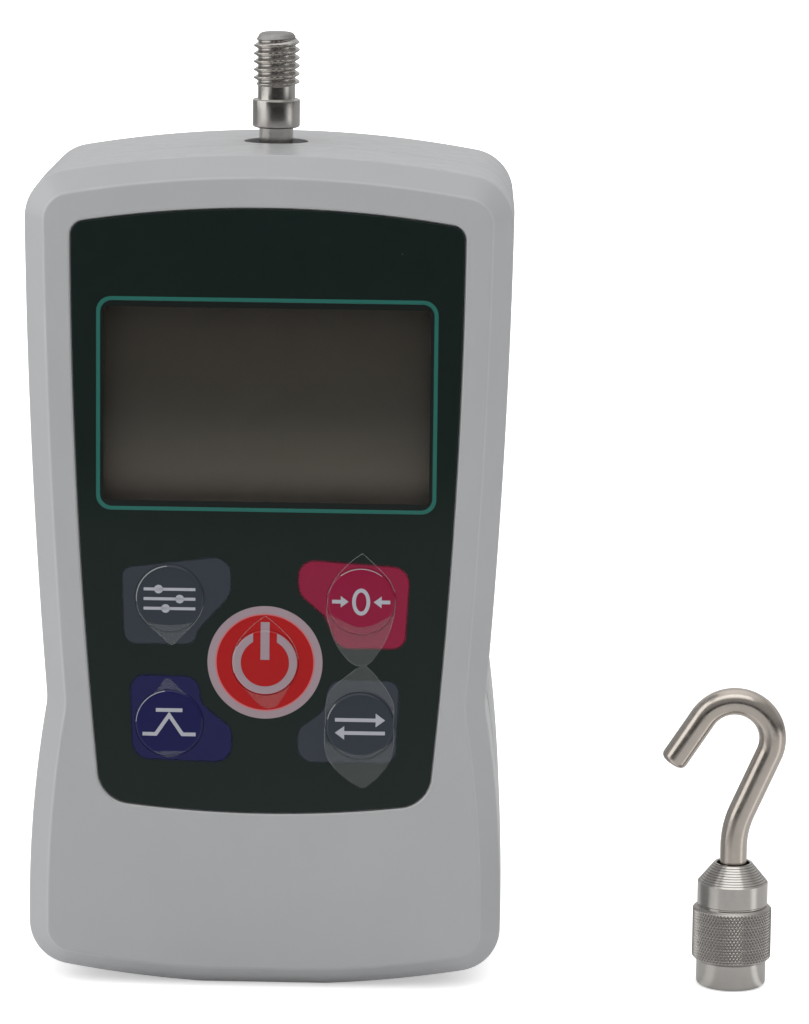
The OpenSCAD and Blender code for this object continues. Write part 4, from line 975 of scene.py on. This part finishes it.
plain = fillet([(STUD_R, STUD_LOW), (STUD_R, STUD_TOP), (NECK_R, STUD_TOP), (NECK_R, NECK_TOP),
                (COLLAR_R, NECK_TOP), (COLLAR_R, COLLAR_TOP), (ROOT_R, COLLAR_TOP), (ROOT_R, RELIEF_TOP)],
               [0, 0, 0, 0.1, 0.3, 0.15, 0.12, 0])
levels = [RELIEF_TOP + THREAD_STEP * k for k in range(1, int((TIP_Z - RELIEF_TOP) / THREAD_STEP))]
shaft_rings = [level_ring(r, z, SHAFT_STEPS) for r, z in plain]
shaft_rings += [level_ring(thread_r, z, SHAFT_STEPS) for z in levels + [TIP_Z - LAST_STEP, TIP_Z]]
shaft_rings.append(level_ring(TIP_R, TIP_Z, SHAFT_STEPS))
shaft = make("shaft", loft(shaft_rings), STEEL, sharp=38.0)
shaft.data.materials.append(TIP_STEEL.material)
for face in shaft.data.polygons:
    if face.center.z > (TIP_Z - WORN_H - ORIGIN_Z) * MM:
        face.material_index = 1
place(shaft, "measuring_line", "shaft_steel", "load_shaft")

# Hook adapter: turned ends, grooved cone and a diamond knurl
HOOK_AT = (HOOK_X, HOOK_Y)
BASE_R, BASE_H, BASE_EDGE_R, NECK_IN = 4.5, 3.35, 0.55, 0.2
KNURL_H, UPPER_R, UPPER_H, CONE_H = 7.2, 4.55, 3.1, 2.55
KNURL_LOW, KNURL_TOP = BASE_H, BASE_H + KNURL_H
CONE_LOW, ADAPTER_H = KNURL_TOP + UPPER_H, KNURL_TOP + UPPER_H + CONE_H
RIM_R, SWIVEL_R, SWIVEL_EDGE = 2.45, 2.15, 0.08
TAP_R, CHAMBER_R, CHAMBER_LOW, CHAMBER_TOP = 2.459, 2.75, 9.0, 12.15
GROOVES, GROOVE_SHAPE = 9, ((0.0, 0.0), (0.72, 0.0), (0.86, 0.07))
base = fillet([(TAP_R, 0.0), (BASE_R, 0.0), (BASE_R, BASE_H), (BASE_R - NECK_IN, BASE_H), (TAP_R, BASE_H)],
              [0, BASE_EDGE_R, 0, 0, 0])
cone = [(UPPER_R + (RIM_R - UPPER_R) * t - inset, CONE_LOW + CONE_H * t - inset)
        for t, inset in (((k + d) / GROOVES, i) for k in range(GROOVES) for d, i in GROOVE_SHAPE)]
UNDERCUT_R, UNDERCUT_HALF, UNDERCUT_EDGE, CONE_GAP = 4.4, 0.2, 0.12, 0.1
neck = [(TAP_R, KNURL_TOP - UNDERCUT_HALF), (UNDERCUT_R, KNURL_TOP - UNDERCUT_HALF),
        (UNDERCUT_R, KNURL_TOP + UNDERCUT_HALF), (UPPER_R, KNURL_TOP + UNDERCUT_HALF + UNDERCUT_EDGE),
        (UPPER_R, CONE_LOW - CONE_GAP)]
bore = [(RIM_R, ADAPTER_H), (SWIVEL_R + SWIVEL_EDGE, ADAPTER_H), (SWIVEL_R, ADAPTER_H - SWIVEL_EDGE),
        (SWIVEL_R, CHAMBER_TOP), (CHAMBER_R, CHAMBER_TOP), (CHAMBER_R, CHAMBER_LOW), (TAP_R, CHAMBER_LOW)]
ends = join(*(spin(profile, (*HOOK_AT, 0), "Z", 96) for profile in (base, neck + cone + bore)))
place(make("adapter_turned", ends, STEEL, sharp=28.0), "adapter", "adapter_steel", "hook_adapter")
KNURL_R, KNURL_N, KNURL_DEPTH, KNURL_SLANT, KNURL_LAND = 5.1, 68, 0.15, 1.6, 0.25
KNURL_CHAMFER, KNURL_FADE, KNURL_LEVELS, KNURL_STEPS = 0.45, 0.7, 110, 8 * KNURL_N


def knurl_r(a, z):
    """Radius of the knurled band: crossing slanted grooves between chamfered ends."""
    turn = KNURL_N * a / (2 * pi)
    slant = (z - KNURL_LOW) / (2 * pi * KNURL_R / KNURL_N) / KNURL_SLANT
    cut = max(abs((t + 0.5) % 1.0 - 0.5) for t in (turn + slant, turn - slant)) * 2
    end = min(z - KNURL_LOW, KNURL_TOP - z)
    depth = KNURL_DEPTH * min(1.0, max(0.0, end / KNURL_CHAMFER - KNURL_FADE) / (1 - KNURL_FADE))
    return KNURL_R - depth * max(0.0, cut - KNURL_LAND) / (1 - KNURL_LAND) - max(0.0, KNURL_CHAMFER - end)


knurl_rings = [level_ring(knurl_r, KNURL_LOW + KNURL_H * k / KNURL_LEVELS, KNURL_STEPS, HOOK_AT)
               for k in range(KNURL_LEVELS + 1)]
inner = [level_ring(TAP_R, z, KNURL_STEPS, HOOK_AT) for z in (KNURL_LOW, KNURL_TOP)]
band = loft([inner[0]] + knurl_rings + [inner[1], inner[0]], False, False)
place(make("adapter_knurl", band, KNURL_STEEL, sharp=24.0), "adapter", "adapter_steel")

# Hook: round wire bent in one plane, as the frame has it, each point of its path with the way it runs
WIRE_R, BOWL_R, BEND_R, LEG, END_ROUND = 1.747, 4.9, 12.0, 7.2, 0.8
LEAN, LEG_LEAN = radians(23.5), radians(33.0)
BOWL_X, BOWL_UP, HEAD_LOW, HEAD_H, HEAD_R = -0.2, 16.4, 10.25, 1.6, 2.45
WIRE_STEPS, BEND_STEPS, BOWL_STEPS, END_STEPS, BEND_GAP = 40, 16, 56, 6, 0.01
bowl = complex(BOWL_X, ADAPTER_H + BOWL_UP)
lean_end = bowl + BOWL_R * complex(cos(LEAN), -sin(LEAN))
lean_len = (lean_end.real - BEND_R * (1 - cos(LEAN))) / sin(LEAN)
bend_z = (lean_end - lean_len * complex(sin(LEAN), cos(LEAN))).imag - BEND_R * sin(LEAN)
path = [(complex(0, z), 1j) for z in (HEAD_LOW, bend_z - BEND_GAP)]
for k in range(BEND_STEPS + 1):
    a = LEAN * k / BEND_STEPS
    path.append((complex(BEND_R, bend_z) - BEND_R * exp(-1j * a), exp(1j * (pi / 2 - a))))
path.append((lean_end, exp(1j * (pi / 2 - LEAN))))
for k in range(1, BOWL_STEPS + 1):
    a = -LEAN + (pi - LEG_LEAN + LEAN) * k / BOWL_STEPS
    path.append((bowl + BOWL_R * exp(1j * a), 1j * exp(1j * a)))
leg_start, leg_way = path[-1]


def wire_ring(p, way, r):
    side = way * -1j * r
    return [(HOOK_X + q.real, HOOK_Y + r * sin(a), q.imag)
            for a, q in ((a, p + side * cos(a)) for a in round_about(WIRE_STEPS))]


wire_rings = [wire_ring(p, way, WIRE_R) for p, way in path]
for k in range(END_STEPS + 1):
    t = pi / 2 * k / END_STEPS
    end = leg_start + leg_way * (LEG - END_ROUND * (1 - sin(t)))
    wire_rings.append(wire_ring(end, leg_way, WIRE_R - END_ROUND * (1 - cos(t))))
head = spin([(0, HEAD_LOW), (HEAD_R, HEAD_LOW), (HEAD_R, HEAD_LOW + HEAD_H), (0, HEAD_LOW + HEAD_H)],
            (*HOOK_AT, 0), "Z", 48)
wire = make("hook_wire", join(loft(wire_rings), head), WIRE_STEEL, sharp=40.0)
place(wire, "swivel_hook", "hook_steel", "hook")

# Stage: a pale floor that keeps the object's shadow; mirrored rays see it darker in parts, as in a dim room
FLOOR, FLOOR_GAP, FLOOR_PALE = 4.0, 0.00005, 0.93
floor_mesh = bpy.data.meshes.new("floor")
floor_mesh.from_pydata([(sx * FLOOR, sy * FLOOR, 0) for sx, sy in ((-1, -1), (1, -1), (1, 1), (-1, 1))], [],
                       [(0, 1, 2, 3)])
floor = add("floor", floor_mesh)
floor.location.z = -ORIGIN_Z * MM - FLOOR_GAP
ground = Paint("floor_paper", Roughness=0.9, Specular_IOR_Level=0.0)
across, depth, _ = ground.split(ground.place)

# What metal sees of the floor, painted light and shade for its reflections: by bearing about the hook where
# it is near, else the gauge, and by distance
ROOM_MID, HOOK_NEAR, HOOK_SIDE = 0.03, 0.2, 0.035
# A painted pool of light on the floor beside the hook, which only reflections show
POOL_LEVEL, POOL_R, POOL_END = 0.42, 0.24, 0.3
NEAR_SCALE = 2.5
LEFT_STOPS = ((0.12, 0.02), (0.207, 0.30), (0.25, 0.5), (0.295, 0.62), (0.39, 0.62), (0.495, 0.38),
              (0.62, 0.17), (0.81, 0.18), (1.0, 0.2))
RIGHT_STOPS = ((0.12, 0.02), (0.207, 0.06), (0.25, 0.15), (0.295, 0.36), (0.36, 0.8), (0.41, 0.8),
               (0.495, 0.28), (0.62, 0.28), (0.81, 0.24), (1.0, 0.2))
NEAR_STOPS = ((0.0, 0.45), (0.18, 0.45), (0.27, 0.22), (0.8, 0.18), (0.95, 0.07), (1.0, 0.04))
beside = sub(across, ROOM_MID)
aside = times(calc("SIGN", beside), most(sub(calc("ABSOLUTE", beside), ROOM_MID), 0.0))
hook_x, hook_y = sub(across, HOOK_X * MM), sub(depth, HOOK_Y * MM)
from_hook = length(hook_x, hook_y)
by_hook = times(calc("GREATER_THAN", across, 0.0), calc("LESS_THAN", from_hook, HOOK_NEAR))
hook_light_pool = times(calc("GREATER_THAN", across, HOOK_SIDE),
                  ground.span(from_hook, POOL_LEVEL, 0.0, POOL_R, POOL_END))
to_side, to_back = either(by_hook, hook_x, aside), either(by_hook, hook_y, depth)
turn = calc("DIVIDE", calc("ARCTAN2", to_side, times(to_back, -1.0)), 2 * pi)
stops = [(0.5 - spot / 2, level) for spot, level in LEFT_STOPS[::-1]]
stops += [(0.5 + spot / 2, level) for spot, level in RIGHT_STOPS]
sweep = ground.ramp(plus(turn, 0.5), stops)
floor_near = ground.ramp(times(length(aside, depth), NEAR_SCALE), NEAR_STOPS)
rays = ground.node("LightPath").outputs
near = most(sweep, hook_light_pool, floor_near, rays["Is Camera Ray"], rays["Is Diffuse Ray"])
ground.into("Base Color", ground.blend(near, (0.0, 0.0, 0.0), (FLOOR_PALE, FLOOR_PALE, FLOOR_PALE)))
# A glow that whitens the picture's background, stronger away from the viewer
GLOW_NEAR, GLOW_FAR, GLOW_FROM, GLOW_TO = 0.45, 0.95, 0.15, 0.8
seen = most(rays["Is Camera Ray"], rays["Is Glossy Ray"], rays["Is Transmission Ray"])
glow = ground.span(depth, GLOW_NEAR, GLOW_FAR, GLOW_FROM, GLOW_TO)
ground.shader.inputs["Emission Color"].default_value = (1.0, 1.0, 1.0, 1.0)
ground.into("Emission Strength", times(times(seen, near), glow))
floor_mesh.materials.append(ground.material)

# Light: a soft room, brighter on some sides than others, and weak lamps
world = bpy.data.worlds.new("room")
bpy.context.scene.world = world
world.use_nodes = True
room = Nodes(world.node_tree)
ways = room.split(room.node("TexCoord").outputs["Generated"])
way_x, way_y, way_z = (most(way, 0.0) for way in ways)
RIGHT_LEVEL, BACK_LEVEL, SKY_LEVEL = 0.08, 0.42, 1.24
PANEL_STOPS = ((0.0, 0.0), (0.2, 0.236), (0.35, 0.3), (0.65, 0.3), (0.8, 0.7), (1.0, 1.0))
walls = plus(times(way_x, RIGHT_LEVEL), times(way_y, BACK_LEVEL))
even_sky = times(way_z, SKY_LEVEL)
panel_sky = room.ramp(way_z, PANEL_STOPS)
mirrored = room.node("LightPath").outputs["Is Glossy Ray"]
sky = either(mirrored, panel_sky, even_sky)
back = room.tree.nodes["Background"]
room.tree.links.new(plus(walls, sky), back.inputs["Strength"])
back.inputs["Color"].default_value = (1.0, 1.0, 1.0, 1.0)
LIT_POINT = Vector(row(10, 0, 55))


def lamp(name, spot, size, watts):
    light = bpy.data.lights.new(name, "AREA")
    light.shape, light.size, light.size_y = "RECTANGLE", *size
    light.energy = watts
    obj = add(name, light)
    obj.location = spot
    obj.rotation_mode = "QUATERNION"
    obj.rotation_quaternion = (LIT_POINT - Vector(spot)).to_track_quat("-Z", "Y")
    return obj


lamp("key", (-0.93, -0.22, 0.39), (1.2, 1.0), 4.8)
lamp("top", (0.01, -0.52, 0.73), (1.0, 0.5), 1.45)
lamp("rim", (0.75, 0.6, 0.15), (1.2, 1.0), 2.75).visible_glossy = False

# Camera fitted to the photograph
EYE_AT, LENS, SENSOR, NEAREST, FARTHEST = (33.0, -657.8, 184.2), 180.35, 36.0, 0.01, 20.0
AZIMUTH, PITCH_DOWN, ROLL = radians(1.385), radians(10.76), radians(0.67)
eye = bpy.data.cameras.new("eye")
eye.lens, eye.sensor_width = LENS, SENSOR
eye.clip_start, eye.clip_end = NEAREST, FARTHEST
camera = add("eye", eye)
camera.matrix_world = (Matrix.Translation(row(*EYE_AT)) @ Matrix.Rotation(AZIMUTH, 4, "Z")
                       @ Matrix.Rotation(pi / 2 - PITCH_DOWN, 4, "X") @ Matrix.Rotation(ROLL, 4, "Z"))
bpy.context.scene.camera = camera
bpy.context.scene.view_settings.view_transform = "Standard"
